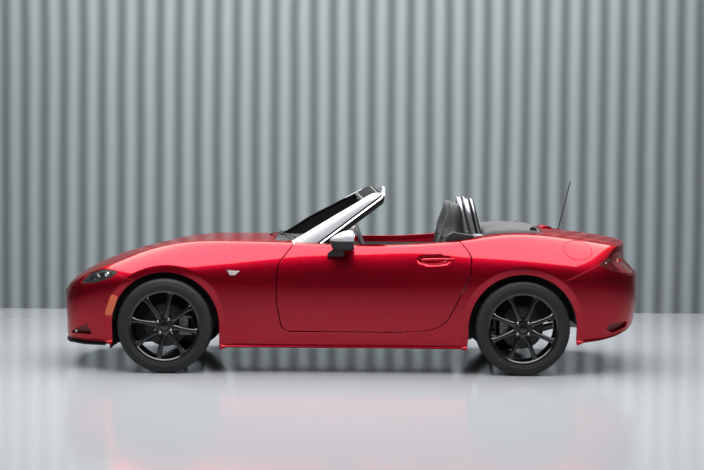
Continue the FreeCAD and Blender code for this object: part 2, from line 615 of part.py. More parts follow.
def build_wheel(nodes, name, centre, spoke_turn):
    """One left-hand wheel with its disc, and its tyre.  The outboard side faces -Y."""
    tyre = revolve_y(TYRE_PROFILE, centre)
    barrel = revolve_y(BARREL_PROFILE, centre)
    nodes["tyre_" + name] = tyre.cut(barrel)
    hub = revolve_y(HUB_PROFILE, centre)
    disc = revolve_y(DISC_PROFILE, centre)
    pieces = [barrel, hub, disc]
    spoke = Part.makeLoft([
        spoke_wire(55, 25, -86, -62),
        spoke_wire(130, 13, -92, -64),
        spoke_wire(214, 16, -88, -60),
    ], True, True)
    for i in range(8):
        turned = spoke.copy()
        turned.rotate(V(0, 0, 0), V(0, 1, 0), spoke_turn + 45 * i)
        pieces.append(turned.translated(V(*centre)))
    for i in range(4):
        angle = math.radians(spoke_turn + 22.5 + 90 * i)
        at = V(centre[0] + 50 * math.cos(angle), centre[1], centre[2] - 50 * math.sin(angle))
        pieces.append(Part.makeCylinder(10, 34, at + V(0, -100, 0), V(0, 1, 0)))
    wheel = pieces[0].fuse(pieces[1:])
    nodes["wheel_" + name] = largest(wheel)


def spoke_wire(radius, half, y0, y1):
    """One section of a spoke that points along +X."""
    points = [V(radius, y0, -half * 0.6), V(radius, y0, half * 0.6), V(radius, y1, half), V(radius, y1, -half)]
    return Part.makePolygon(points + [points[0]])


def build_running_gear(nodes):
    """Wheels, knuckles, front subframe, rear axle, engine and exhaust."""
    front = (FRONT_AXLE_X, -TRACK_HALF, TYRE_R)
    rear = (REAR_AXLE_X, -TRACK_HALF, TYRE_R)
    build_wheel(nodes, "front_left", front, 10)
    build_wheel(nodes, "rear_left", rear, 22.5)

    x, z = FRONT_AXLE_X, TYRE_R
    knuckle = [
        cyl(52, (x, -716, z), (x, -660, z)),
        cyl(KINGPIN_R, (x, -KINGPIN_Y, 206), (x, -KINGPIN_Y, 456)),
        box(x - 24, x + 24, -712, -668, 222, 440),
        box(x, x + 110, -712, -680, z - 40, z + 40),
        caliper(x, 1),
    ]
    nodes["knuckle_left"] = largest(fuse(knuckle))

    arm_low = top_prism([(x - 110, -440, 0), (x + 110, -440, 0), (x + 26, -712, 20), (x - 26, -712, 20)], 208, 222)
    arm_high = top_prism([(x - 60, -440, 0), (x + 60, -440, 0), (x + 24, -712, 20), (x - 24, -712, 20)], 440, 454)
    tower = box(x - 60, x + 60, -BAY_Y, -440, 200, 470)
    socket = cyl(KINGPIN_R + 0.4, (x, -KINGPIN_Y, 190), (x, -KINGPIN_Y, 470))
    side = [arm_low.cut(socket), arm_high.cut(socket), tower]
    beam = box(x - 60, x + 60, -460, 460, 200, 250)
    nodes["front_subframe"] = largest(fuse([beam] + side + [mirrored(s) for s in side]))
    nodes["engine"] = box(-1420, -800, -210, 210, 250, 690)

    x = REAR_AXLE_X
    carrier = [
        cyl(52, (x, -716, z), (x, -660, z)),
        cyl(18, (x, -700, z), (x, -100, z)),
        box(x - 110, x, -712, -680, z - 40, z + 40),
        caliper(x, -1),
        box(x - 24, x + 24, -700, -660, 230, z),
        box(x - 30, x + 30, -700, -440, 216, 232),
        box(x - 60, x + 60, -498, -440, 216, 262),
        box(x - 60, x - 36, -498, -482, 216, 330),
        box(x + 36, x + 60, -498, -482, 216, 330),
    ]
    middle = [box(x - 60, x + 60, -460, 460, 216, 262), box(x - 110, x + 110, -100, 100, 216, 380)]
    nodes["rear_axle"] = largest(fuse(carrier + [mirrored(s) for s in carrier] + middle))

    muffler = box(1500, 1740, 60, 470, 232, 400)
    tips = [cyl(34, (1720, y, 268), (1868, y, 268)).cut(cyl(28, (1760, y, 268), (1868, y, 268))) for y in TAILPIPE_Y]
    route = [(-800, 150, 165), (900, 150, 165), (980, 150, 190), (1240, 150, 190), (1520, 150, 262)]
    pipe = [cyl(24, a, b) for a, b in zip(route[:2], route[1:2])]
    pipe += [Part.makeSphere(24, V(*p)) for p in route[1:-1]]
    pipe += [cyl(24, a, b) for a, b in zip(route[1:], route[2:])]
    nodes["exhaust"] = largest(fuse([muffler] + tips + pipe).cut(nodes["rear_axle"]).cut(nodes["floor"]))


def caliper(axle_x, side):
    """A brake caliper that straddles the disc, behind the axle for side 1 and ahead of it for -1."""
    near, far = axle_x + side * 92, axle_x + side * 168
    block = box(min(near, far), max(near, far), -778, -680, TYRE_R - 58, TYRE_R + 58)
    slot = cyl(146, (axle_x, -752, TYRE_R), (axle_x, -718, TYRE_R))
    return block.cut(slot)


def main():
    """Builds every node and writes one STEP file for each."""
    nodes = {}
    build_doors(nodes)
    build_mirror(nodes)
    build_front(nodes)
    build_rear(nodes)
    build_structure(nodes)
    build_cabin(nodes)
    build_top(nodes)
    build_running_gear(nodes)
    for name in sorted(nodes):
        twin = name[:-4] + "right"
        if name.endswith("_left") and twin not in nodes:
            nodes[twin] = mirrored(nodes[name])
    os.makedirs(PARTS, exist_ok=True)
    for name, shape in sorted(nodes.items()):
        shape.exportStep(os.path.join(PARTS, name + ".step"))


main()
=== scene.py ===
"""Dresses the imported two-seat convertible: paint, glass, cloth, leather, rubber and light.

Every length is in metres, in the car's own frame: X to the rear, Y to the car's right, Z up, with
the origin on the ground under the middle of the car.  Body panels are patches of one smooth skin, so
that highlights run from panel to panel, and each patch turns in at its shut lines.
"""

import json
import logging
import math
from dataclasses import dataclass, field
from enum import Enum
from typing import Callable, Iterable, Sequence

import bmesh
import bpy
import numpy as np
from mathutils import Matrix, Vector
from mathutils.geometry import delaunay_2d_cdt

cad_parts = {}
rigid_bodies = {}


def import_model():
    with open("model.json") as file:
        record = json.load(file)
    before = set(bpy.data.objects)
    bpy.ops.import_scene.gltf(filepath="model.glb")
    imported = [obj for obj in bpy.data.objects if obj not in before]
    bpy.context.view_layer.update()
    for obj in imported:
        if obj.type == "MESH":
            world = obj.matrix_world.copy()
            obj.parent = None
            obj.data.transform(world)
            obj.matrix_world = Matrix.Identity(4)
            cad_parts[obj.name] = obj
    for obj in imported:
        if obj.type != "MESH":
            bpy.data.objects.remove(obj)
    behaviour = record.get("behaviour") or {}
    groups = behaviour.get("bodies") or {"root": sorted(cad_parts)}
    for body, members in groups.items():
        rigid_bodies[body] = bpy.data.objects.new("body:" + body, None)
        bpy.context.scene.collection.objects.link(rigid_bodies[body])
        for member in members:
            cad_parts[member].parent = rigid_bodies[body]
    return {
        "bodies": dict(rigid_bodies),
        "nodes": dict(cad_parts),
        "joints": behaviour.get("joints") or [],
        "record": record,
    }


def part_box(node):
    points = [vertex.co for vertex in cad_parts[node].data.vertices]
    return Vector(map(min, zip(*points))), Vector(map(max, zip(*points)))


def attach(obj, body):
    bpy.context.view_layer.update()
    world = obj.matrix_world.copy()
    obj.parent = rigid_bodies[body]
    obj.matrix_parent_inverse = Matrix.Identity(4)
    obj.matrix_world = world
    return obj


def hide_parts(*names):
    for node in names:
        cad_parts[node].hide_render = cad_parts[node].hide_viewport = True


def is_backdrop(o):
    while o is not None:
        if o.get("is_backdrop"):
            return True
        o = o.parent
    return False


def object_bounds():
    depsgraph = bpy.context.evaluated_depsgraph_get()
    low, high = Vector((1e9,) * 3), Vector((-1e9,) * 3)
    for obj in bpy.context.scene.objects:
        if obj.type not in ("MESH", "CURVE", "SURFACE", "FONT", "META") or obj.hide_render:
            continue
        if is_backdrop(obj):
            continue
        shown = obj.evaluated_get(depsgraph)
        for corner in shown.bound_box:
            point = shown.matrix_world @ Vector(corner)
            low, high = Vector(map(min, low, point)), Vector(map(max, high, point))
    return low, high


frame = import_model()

LOG = logging.getLogger("convertible")
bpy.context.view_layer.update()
Pair = tuple[float, float]
Triple = tuple[float, float, float]


# ------------------------------------------------------------------ choices
class Side(Enum):
    """Which side of the car a piece stands on."""

    LEFT = -1
    RIGHT = 1


class Edge(Enum):
    """How a panel's edge is finished."""

    TURNED = "turned in over the frame"
    OPEN = "left as a cut line"


# ------------------------------------------------------------------ shader helpers
class ShaderBoard:
    """A small helper that places and links shader nodes in one tree."""

    def __init__(self, tree: bpy.types.NodeTree) -> None:
        """Keeps the tree that nodes go to.

        Args:
            tree: The node tree to build in.
        """
        self.tree = tree

    def add(self, kind: str, **values: object) -> bpy.types.Node:
        """Adds a node and sets its properties and named inputs.

        Args:
            kind: Blender's node type name.
            **values: Properties by name, or inputs by name with spaces as underscores.

        Returns:
            The new node.
        """
        node = self.tree.nodes.new(kind)
        for name, value in values.items():
            socket = node.inputs.get(name.replace("_", " "))
            if socket is not None:
                socket.default_value = value
            else:
                setattr(node, name, value)
        return node

    def link(self, out: bpy.types.NodeSocket, into: bpy.types.NodeSocket) -> None:
        """Joins two sockets."""
        self.tree.links.new(out, into)


def grain_group() -> bpy.types.NodeTree:
    """Makes the shared group that turns a scale and a strength into a grained normal and a mask.

    Returns:
        The node group, made once and reused.
    """
    name = "surface_grain"
    if name in bpy.data.node_groups:
        return bpy.data.node_groups[name]
    group = bpy.data.node_groups.new(name, "ShaderNodeTree")
    face = group.interface
    scale = face.new_socket("Scale", in_out="INPUT", socket_type="NodeSocketFloat")
    scale.default_value = 400.0
    depth = face.new_socket("Depth", in_out="INPUT", socket_type="NodeSocketFloat")
    depth.default_value = 0.0002
    face.new_socket("Normal", in_out="OUTPUT", socket_type="NodeSocketVector")
    face.new_socket("Mask", in_out="OUTPUT", socket_type="NodeSocketFloat")
    board = ShaderBoard(group)
    start = board.add("NodeGroupInput")
    end = board.add("NodeGroupOutput")
    place = board.add("ShaderNodeTexCoord")
    cells = board.add("ShaderNodeTexVoronoi")
    cloud = board.add("ShaderNodeTexNoise", Scale=9.0, Detail=4.0)
    bump = board.add("ShaderNodeBump", Strength=0.6)
    board.link(place.outputs["Object"], cells.inputs["Vector"])
    board.link(place.outputs["Object"], cloud.inputs["Vector"])
    board.link(start.outputs["Scale"], cells.inputs["Scale"])
    board.link(start.outputs["Depth"], bump.inputs["Distance"])
    board.link(cells.outputs["Distance"], bump.inputs["Height"])
    board.link(bump.outputs["Normal"], end.inputs["Normal"])
    board.link(cloud.outputs["Fac"], end.inputs["Mask"])
    return group


def weave_group() -> bpy.types.NodeTree:
    """Makes the shared group for woven cloth: an over-and-under thread pattern.

    Returns:
        The node group, made once and reused.
    """
    name = "cloth_weave"
    if name in bpy.data.node_groups:
        return bpy.data.node_groups[name]
    group = bpy.data.node_groups.new(name, "ShaderNodeTree")
    face = group.interface
    pitch = face.new_socket("Threads", in_out="INPUT", socket_type="NodeSocketFloat")
    pitch.default_value = 500.0
    face.new_socket("Normal", in_out="OUTPUT", socket_type="NodeSocketVector")
    face.new_socket("Mask", in_out="OUTPUT", socket_type="NodeSocketFloat")
    board = ShaderBoard(group)
    start = board.add("NodeGroupInput")
    end = board.add("NodeGroupOutput")
    place = board.add("ShaderNodeTexCoord")
    heights = []
    for axis in ("X", "Y"):
        wave = board.add("ShaderNodeTexWave", bands_direction=axis, Distortion=0.4, Detail=1.0)
        board.link(place.outputs["Object"], wave.inputs["Vector"])
        board.link(start.outputs["Threads"], wave.inputs["Scale"])
        heights.append(wave.outputs["Fac"])
    join = board.add("ShaderNodeMath", operation="MAXIMUM")
    cloud = board.add("ShaderNodeTexNoise", Scale=7.0, Detail=5.0)
    bump = board.add("ShaderNodeBump", Strength=0.5, Distance=0.0006)
    board.link(place.outputs["Object"], cloud.inputs["Vector"])
    board.link(heights[0], join.inputs[0])
    board.link(heights[1], join.inputs[1])
    board.link(join.outputs[0], bump.inputs["Height"])
    board.link(bump.outputs["Normal"], end.inputs["Normal"])
    board.link(cloud.outputs["Fac"], end.inputs["Mask"])
    return group


# ------------------------------------------------------------------ finishes
@dataclass(frozen=True)
class Finish:
    """A surface finish: two close colours, a gloss, and how coarse its grain is."""

    name: str
    colour: Triple
    second: Triple
    roughness: float = 0.5
    metallic: float = 0.0
    coat: float = 0.0
    coat_roughness: float = 0.03
    grain_scale: float = 600.0
    grain_depth: float = 0.0
    specular: float = 0.5
    coat_ior: float = 1.5
    edge: Triple = (1.0, 1.0, 1.0)
    alpha: float = 1.0
    transmission: float = 0.0
    emission: float = 0.0
    sheen: float = 0.0
    woven: bool = False

    def material(self) -> bpy.types.Material:
        """Builds the material, or finds it if it is already there.

        Returns:
            The Blender material.
        """
        if self.name in bpy.data.materials:
            return bpy.data.materials[self.name]
        material = bpy.data.materials.new(self.name)
        material.use_nodes = True
        material.node_tree.nodes.clear()
        board = ShaderBoard(material.node_tree)
        out = board.add("ShaderNodeOutputMaterial")
        shader = board.add("ShaderNodeBsdfPrincipled", Metallic=self.metallic, IOR=1.5)
        shader.inputs["Specular IOR Level"].default_value = self.specular
        shader.inputs["Specular Tint"].default_value = (*self.edge, 1.0)
        shader.inputs["Coat Weight"].default_value = self.coat
        shader.inputs["Coat Roughness"].default_value = self.coat_roughness
        shader.inputs["Coat IOR"].default_value = self.coat_ior
        shader.inputs["Transmission Weight"].default_value = self.transmission
        shader.inputs["Sheen Weight"].default_value = self.sheen
        shader.inputs["Alpha"].default_value = self.alpha
        shader.inputs["Emission Strength"].default_value = self.emission
        shader.inputs["Emission Color"].default_value = (*self.colour, 1.0)
        effect = board.add("ShaderNodeGroup")
        if self.woven:
            effect.node_tree = weave_group()
            effect.inputs["Threads"].default_value = self.grain_scale
        else:
            effect.node_tree = grain_group()
            effect.inputs["Scale"].default_value = self.grain_scale
            effect.inputs["Depth"].default_value = self.grain_depth
        ramp = board.add("ShaderNodeMix", data_type="RGBA")
        ramp.inputs[6].default_value = (*self.colour, 1.0)
        ramp.inputs[7].default_value = (*self.second, 1.0)
        board.link(effect.outputs["Mask"], ramp.inputs[0])
        board.link(ramp.outputs[2], shader.inputs["Base Color"])
        gloss = board.add("ShaderNodeMapRange")
        gloss.inputs["To Min"].default_value = max(0.0, self.roughness * 0.9)
        gloss.inputs["To Max"].default_value = min(1.0, self.roughness * 1.1)
        board.link(effect.outputs["Mask"], gloss.inputs["Value"])
        board.link(gloss.outputs["Result"], shader.inputs["Roughness"])
        if self.grain_depth > 0 or self.woven:
            board.link(effect.outputs["Normal"], shader.inputs["Normal"])
        board.link(shader.outputs["BSDF"], out.inputs["Surface"])
        return material


class Finishes:
    """All the car's finishes by name."""

    PAINT = Finish("deep_red_metallic", (0.27, 0.0006, 0.010), (0.30, 0.0008, 0.012), 0.30, 0.92, 0.50, 0.02,
                   edge=(0.85, 0.02, 0.08))
    # A darker copy of the body red: painted shade for the insides of sunk bowls and recesses.
    PAINT_SHADED = Finish("red_inner_edge", (0.10, 0.001, 0.004), (0.12, 0.001, 0.005), 0.5, 0.3)
    SILVER = Finish("bright_silver_paint", (0.36, 0.37, 0.39), (0.39, 0.40, 0.42), 0.38, 0.20, 0.25, 0.08)
    BLACK_GLOSS = Finish("gloss_black", (0.006, 0.006, 0.007), (0.010, 0.010, 0.011), 0.18, 0.0, 0.6, 0.05)
    BLACK_WHEEL = Finish("black_wheel_lacquer", (0.003, 0.003, 0.0035), (0.005, 0.005, 0.0055), 0.16, 0.0, 0.5, 0.04,
                         specular=0.35)
    PLASTIC = Finish("grained_black_plastic", (0.009, 0.009, 0.0095), (0.013, 0.013, 0.014), 0.50, 0.0,
                     grain_scale=900.0, grain_depth=0.0002, specular=0.3)
    RUBBER = Finish("seal_rubber", (0.005, 0.005, 0.005), (0.008, 0.008, 0.008), 0.75, 0.0,
                    grain_scale=500.0, grain_depth=0.0001, specular=0.06)
    TYRE = Finish("tyre_rubber", (0.0075, 0.008, 0.008), (0.012, 0.0125, 0.0125), 0.58, 0.0,
                  grain_scale=420.0, grain_depth=0.0003, specular=0.25)
    # Windscreen glass: its own green-grey tint, with a pale colour that is also painted reflection, as the pane is
    # nearly opaque.
    GLASS_TINT_AND_PAINTED_REFLECTION = Finish("screen_glass", (0.150, 0.190, 0.190), (0.135, 0.172, 0.172), 0.03, 0.0, alpha=0.80, specular=0.15)
    LENS = Finish("clear_lamp_lens", (0.06, 0.065, 0.07), (0.05, 0.055, 0.06), 0.03, 0.0, 0.3, alpha=0.16)
    LENS_RED = Finish("red_lamp_lens", (0.26, 0.002, 0.008), (0.22, 0.002, 0.006), 0.08, 0.0, 1.0, alpha=0.95)
    AMBER = Finish("amber_lens", (0.55, 0.075, 0.008), (0.48, 0.060, 0.006), 0.20, 0.0, 0.4)
    CHROME = Finish("bright_reflector", (0.75, 0.76, 0.78), (0.70, 0.71, 0.73), 0.12, 1.0)
    ALLOY = Finish("cast_alloy", (0.16, 0.163, 0.168), (0.13, 0.133, 0.138), 0.45, 0.8, grain_scale=300.0,
                   grain_depth=0.0003)
    IRON = Finish("brake_iron", (0.020, 0.0195, 0.0195), (0.032, 0.031, 0.030), 0.42, 0.6, grain_scale=150.0,
                  grain_depth=0.0001)
    UNDER = Finish("underbody_coat", (0.025, 0.025, 0.026), (0.035, 0.035, 0.036), 0.8, 0.0,
                   grain_scale=260.0, grain_depth=0.0006)
    ROOF_CLOTH = Finish("roof_cloth", (0.028, 0.029, 0.0300), (0.040, 0.041, 0.0425), 0.9, 0.0, sheen=0.1,
                        grain_scale=700.0, woven=True)
    LEATHER = Finish("dark_leather", (0.024, 0.026, 0.027), (0.031, 0.033, 0.034), 0.55, 0.0,
                     grain_scale=260.0, grain_depth=0.0005, specular=0.25)
    TRIM = Finish("dash_trim", (0.016, 0.016, 0.017), (0.022, 0.022, 0.023), 0.62, 0.0,
                  grain_scale=500.0, grain_depth=0.0003)
    CARPET = Finish("floor_carpet", (0.014, 0.014, 0.015), (0.022, 0.022, 0.023), 0.95, 0.0, sheen=0.3,
                    grain_scale=300.0, woven=True)
    SATIN = Finish("satin_silver", (0.17, 0.175, 0.185), (0.20, 0.205, 0.215), 0.36, 0.55, 0.3, 0.1)
    GREY_PLASTIC = Finish("pale_grey_plastic", (0.16, 0.165, 0.17), (0.19, 0.195, 0.20), 0.5, 0.0,
                          grain_scale=700.0, grain_depth=0.0002)
    NUT = Finish("plated_nut", (0.30, 0.30, 0.31), (0.36, 0.36, 0.37), 0.22, 0.9)
    # Near-white lamp eyes: painted glints standing for the bright spots in the lamps.
    EYE_PAINTED_GLINT = Finish("lamp_eye_glass", (0.85, 0.88, 0.92), (0.80, 0.83, 0.88), 0.05, 0.0, 1.0)
    GLASS_EYE = Finish("dark_projector_glass", (0.05, 0.052, 0.055), (0.04, 0.042, 0.045), 0.06, 0.3, 1.0)
    PEARL = Finish("pale_lamp_cover", (0.52, 0.42, 0.43), (0.44, 0.34, 0.35), 0.15, 0.2, 0.6)
    LENS_SMOKE = Finish("smoked_lamp_lens", (0.20, 0.016, 0.018), (0.16, 0.012, 0.014), 0.05, 0.0, 0.6, alpha=0.38)
    LIGHT_RED = Finish("red_light_ring", (0.55, 0.006, 0.010), (0.45, 0.005, 0.008), 0.2, 0.0, 0.8)
    STEEL = Finish("exhaust_steel", (0.36, 0.34, 0.32), (0.28, 0.26, 0.25), 0.35, 0.95, grain_scale=200.0,
                   grain_depth=0.0002)


# ------------------------------------------------------------------ the painted skin
# One row per station, millimetres: x, underside z, underside half width, girth half width, girth z,
# crest half width, crest z, middle z.
STATIONS: tuple[tuple[float, ...], ...] = (
    (-1938, 345, 125, 150, 440, 118, 498, 514), (-1925, 260, 235, 265, 435, 220, 508, 532),
    (-1905, 212, 350, 390, 432, 330, 522, 554), (-1880, 203, 460, 525, 436, 440, 540, 576),
    (-1845, 198, 560, 630, 450, 515, 566, 603), (-1790, 195, 625, 705, 470, 570, 598, 637),
    (-1690, 190, 690, 758, 505, 622, 650, 688), (-1550, 185, 750, 800, 535, 645, 706, 743),
    (-1400, 180, 800, 830, 550, 655, 766, 786), (-1200, 175, 825, 848, 560, 670, 822, 828),
    (-1000, 170, 815, 843, 565, 690, 847, 852), (-750, 167, 795, 831, 565, 715, 850, 865),
    (-400, 165, 778, 825, 560, 745, 842, 874), (100, 165, 775, 825, 555, 762, 829, 874),
    (500, 165, 785, 834, 560, 768, 842, 880), (750, 168, 805, 850, 575, 760, 868, 905),
    (950, 180, 830, 862, 585, 742, 896, 935), (1110, 190, 842, 867, 590, 725, 904, 945),
    (1300, 200, 832, 862, 590, 706, 893, 936), (1500, 214, 795, 842, 585, 680, 868, 910),
    (1700, 238, 705, 785, 575, 625, 838, 884), (1800, 272, 610, 705, 570, 580, 815, 866),
    (1860, 302, 480, 585, 565, 500, 785, 846), (1900, 335, 340, 430, 560, 400, 745, 806),
    (1925, 365, 225, 290, 556, 280, 700, 760), (1942, 400, 110, 160, 550, 140, 640, 680),
)
# The tail's upper face in plan, millimetres: half width and x, at its top and along its shelf.
TAIL_UPPER: tuple[Pair, ...] = ((0, 1864), (200, 1851), (400, 1811), (500, 1783), (600, 1745), (700, 1690), (860, 1580))
TAIL_SHELF: tuple[Pair, ...] = ((0, 1940), (200, 1928), (400, 1901), (500, 1872), (600, 1840), (700, 1790), (860, 1690))


def natural_spline(knots: np.ndarray, values: np.ndarray) -> Callable[[np.ndarray], np.ndarray]:
    """Makes a smooth curve through a table's columns.

    Args:
        knots: Rising positions of the rows.
        values: One row of values at each knot.

    Returns:
        A function from positions to interpolated rows.
    """
    count = len(knots)
    gap = np.diff(knots)
    matrix = np.eye(count)
    right = np.zeros_like(values)
    for i in range(1, count - 1):
        matrix[i, i - 1:i + 2] = gap[i - 1], 2 * (gap[i - 1] + gap[i]), gap[i]
        right[i] = 6 * ((values[i + 1] - values[i]) / gap[i] - (values[i] - values[i - 1]) / gap[i - 1])
    bend = np.linalg.solve(matrix, right)

    def curve(at: np.ndarray) -> np.ndarray:
        """Evaluates the curve at each position."""
        i = np.clip(np.searchsorted(knots, at) - 1, 0, count - 2)
        h = gap[i][:, None]
        a = (knots[i + 1] - at)[:, None]
        b = (at - knots[i])[:, None]
        return (bend[i] * a ** 3 + bend[i + 1] * b ** 3) / (6 * h) + (
            values[i] / h - bend[i] * h / 6) * a + (values[i + 1] / h - bend[i + 1] * h / 6) * b

    return curve


@dataclass
class BodySkin:
    """The car's painted shape as one smooth left half, addressed by u and s.

    u runs along the car from nose to tail by the length of its outline in plan; below 0 and past
    the last station it closes the nose and the tail.  s is 0 on the underside's middle line and rises
    over the sill, the side and the crest to the middle line on top.
    """

    rows: tuple[tuple[float, ...], ...] = STATIONS
    under: int = 8
    lower: int = 24
    upper: int = 34
    top: int = 34
    crest_passes: int = 14
    cap: float = 0.12
    nose_bulge: float = 0.010
    tail_bulge: float = 0.006
    shelf_z: float = 0.648
    break_z: float = 0.736
    break_soft: float = 0.010

    def __post_init__(self) -> None:
        """Prepares the curves that run through the stations."""
        table = np.array(self.rows) / 1000
        steps = np.hypot(np.diff(table[:, 0]), np.diff(table[:, 3]))
        self.knots = np.concatenate([[0.0], np.cumsum(steps)])
        self.length = self.knots[-1]
        self.curve = natural_spline(self.knots, table)
        self.fine_u = np.linspace(0, self.length, 4000)
        self.fine_x = self.curve(self.fine_u)[:, 0]
        self.x0, self.x1 = table[0, 0], table[-1, 0]
        self.last = self.under + self.lower + self.upper + self.top
        index = np.arange(self.last + 1)
        crest = self.under + self.lower + self.upper
        self.soft = 0.5 * np.exp(-((index - crest) / 6.0) ** 2)
        self.girth_mark = self.under + self.lower
        self.tail_faces = []
        for outline in (TAIL_UPPER, TAIL_SHELF):
            half, back = np.array(outline).T / 1000
            even = np.concatenate([-half[:0:-1], half])
            self.tail_faces.append(natural_spline(even, np.concatenate([back[:0:-1], back])[:, None]))

    def tail_limit(self, y: np.ndarray, z: np.ndarray) -> np.ndarray:
        """Finds how far back the skin may reach at given half widths and heights.

        Args:
            y: Half widths.
            z: Heights.

        Returns:
            The x of the tail's upper face, and more than the car's length below its shelf.
        """
        y = np.clip(np.abs(y), 0, 0.86)
        upper, shelf = (face(y)[:, 0] for face in self.tail_faces)
        share = np.clip((z - self.shelf_z) / (self.break_z - self.shelf_z), 0, 1)
        return shelf * (1 - share) + upper * share + 4 * np.maximum(self.shelf_z - z, 0)

    def u_at(self, x: np.ndarray) -> np.ndarray:
        """Finds u at given positions along the car."""
        return np.interp(x, self.fine_x, self.fine_u)

    def sections(self, u: np.ndarray) -> tuple[np.ndarray, np.ndarray]:
        """Samples one whole half section at each u.

        Args:
            u: Distances along the car's outline.

        Returns:
            The x of each section, and an array of (sections, samples, 2) with half widths and heights.
        """
        x, low_z, low_y, girth_y, girth_z, crest_y, crest_z, mid_z = self.curve(np.clip(u, 0, self.length)).T
        parts = []
        t = np.linspace(0, 1, self.under, endpoint=False)
        parts.append((low_y[:, None] * t, np.repeat(low_z[:, None], len(t), 1)))
        parts.append(self.arc(girth_y, girth_z, low_y, low_z, self.lower, True))
        parts.append(self.arc(girth_y, girth_z, crest_y, crest_z, self.upper, False))
        t = (np.arange(self.top + 1) / self.top) ** 1.35
        y = crest_y[:, None] * (1 - t)
        z = mid_z[:, None] - (mid_z - crest_z)[:, None] * (1 - t) ** 2
        parts.append((y, z))
        line = np.stack([np.concatenate([p[0] for p in parts], 1), np.concatenate([p[1] for p in parts], 1)], -1)
        for _ in range(self.crest_passes):
            middle = (line[:, :-2] + line[:, 2:]) / 2
            line[:, 1:-1] += self.soft[None, 1:-1, None] * (middle - line[:, 1:-1])
        beyond = np.maximum(-u, 0) + np.maximum(u - self.length, 0)
        shrink = np.clip(1 - beyond / self.cap, 0, 1)
        centre = np.stack([np.zeros_like(low_z), (low_z + mid_z) / 2], -1)[:, None, :]
        line = centre + (line - centre) * shrink[:, None, None]
        x = x - self.nose_bulge * (u < 0) * (1 - shrink ** 2) + self.tail_bulge * (u > self.length) * (1 - shrink ** 2)
        return x, line

    @staticmethod
    def arc(y0: np.ndarray, z0: np.ndarray, y1: np.ndarray, z1: np.ndarray, count: int,
            backwards: bool) -> tuple[np.ndarray, np.ndarray]:
        """Samples the arcs that leave (y0, z0) upright and reach (y1, z1).

        Args:
            y0: Half widths at the girth.
            z0: Heights at the girth.
            y1: Half widths at the far end.
            z1: Heights at the far end.
            count: How many samples, without the last one.
            backwards: True to run from the far end to the girth.

        Returns:
            Half widths and heights, one row for each arc.
        """
        depth = np.maximum(y0 - y1, 1e-4)
        rise = z1 - z0
        radius = (depth ** 2 + rise ** 2) / (2 * depth)
        angle = np.arctan2(rise, radius - depth)
        t = np.linspace(0, 1, count, endpoint=False)
        if backwards:
            t = 1 - t
        turn = angle[:, None] * t
        return (y0 - radius)[:, None] + radius[:, None] * np.cos(turn), z0[:, None] + radius[:, None] * np.sin(turn)

    def uncut(self, u: np.ndarray, s: np.ndarray) -> np.ndarray:
        """Finds points on the skin before the tail's upper face and any modelling are pressed into it.

        Args:
            u: Distances along the car's outline.
            s: Girth numbers.

        Returns:
            Points as an (n, 3) array, on the left side.
        """
        x, lines = self.sections(u)
        s = np.clip(s, 0, self.last)
        i = np.clip(s.astype(int), 0, self.last - 1)
        f = (s - i)[:, None]
        rows = np.arange(len(x))

        def at(k: np.ndarray) -> np.ndarray:
            """Reads the sample at each index, mirrored past the two middle lines."""
            flip = np.where((k < 0) | (k > self.last), -1.0, 1.0)
            k = np.where(k < 0, -k, np.where(k > self.last, 2 * self.last - k, k))
            return lines[rows, k] * np.column_stack([flip, np.ones_like(flip)])

        a, b, c, d = at(i - 1), at(i), at(i + 1), at(i + 2)
        yz = 0.5 * (2 * b + (c - a) * f + (2 * a - 5 * b + 4 * c - d) * f ** 2 + (3 * b - a - 3 * c + d) * f ** 3)
        return np.column_stack([x, -yz[:, 0], yz[:, 1]])

    def plain(self, u: np.ndarray, s: np.ndarray) -> np.ndarray:
        """Finds points on the skin with its tail face, before any modelling is pressed into it.

        Args:
            u: Distances along the car's outline.
            s: Girth numbers.

        Returns:
            Points as an (n, 3) array, on the left side.
        """
        points = self.uncut(u, s)
        limit = self.tail_limit(points[:, 1], points[:, 2])
        share = np.clip(0.5 + 0.5 * (limit - points[:, 0]) / self.break_soft, 0, 1)
        points[:, 0] = limit * (1 - share) + points[:, 0] * share - self.break_soft * share * (1 - share)
        return points

    def tail_lines(self) -> list[np.ndarray]:
        """Finds the skin coordinates of the tail's sharp lines, for the meshes to follow.

        Returns:
            Open lines of (u, s) points: the spoiler's edge, then the foot and the top of the shelf.
        """
        us = np.linspace(self.u_at(np.array([1.55]))[0], self.length + self.cap, 600)
        edge = []
        for s in np.arange(self.girth_mark, self.last + 0.1, 0.7):
            points = self.uncut(us, np.full_like(us, s))
            over = points[:, 0] - self.tail_limit(points[:, 1], points[:, 2])
            first = int(np.argmax(over > 0))
            if over[first] > 0 and points[first, 2] > self.shelf_z - 0.01:
                share = over[first - 1] / (over[first - 1] - over[first])
                edge.append((us[first - 1] + (us[first] - us[first - 1]) * share, s))
        spoiler = np.array(edge)
        lines = [spoiler + [by, 0] for by in (-0.016, -0.007, 0.0, 0.007, 0.016)]
        along = np.linspace(spoiler[:, 0].min(), self.length + self.cap * 0.9, 60)
        for z in (self.shelf_z - 0.006, self.shelf_z + 0.004, self.break_z - 0.004, self.break_z + 0.004):
            lines.append(np.column_stack([along, self.s_at_height(along, np.full_like(along, z))]))
        return lines

    def s_at_height(self, u: np.ndarray, z: np.ndarray) -> np.ndarray:
        """Finds the girth numbers where the side reaches given heights."""
        _, lines = self.sections(u)
        marks = np.arange(self.under, self.last + 1)
        return np.array([np.interp(h, line[self.under:, 1], marks) for line, h in zip(lines, z)])

    def s_at_width(self, u: np.ndarray, y: np.ndarray) -> np.ndarray:
        """Finds the girth numbers above the girth where the skin has given half widths."""
        _, lines = self.sections(u)
        marks = np.arange(self.girth_mark, self.last + 1)
        return np.array([np.interp(-abs(w), -line[self.girth_mark:, 0], marks) for line, w in zip(lines, y)])

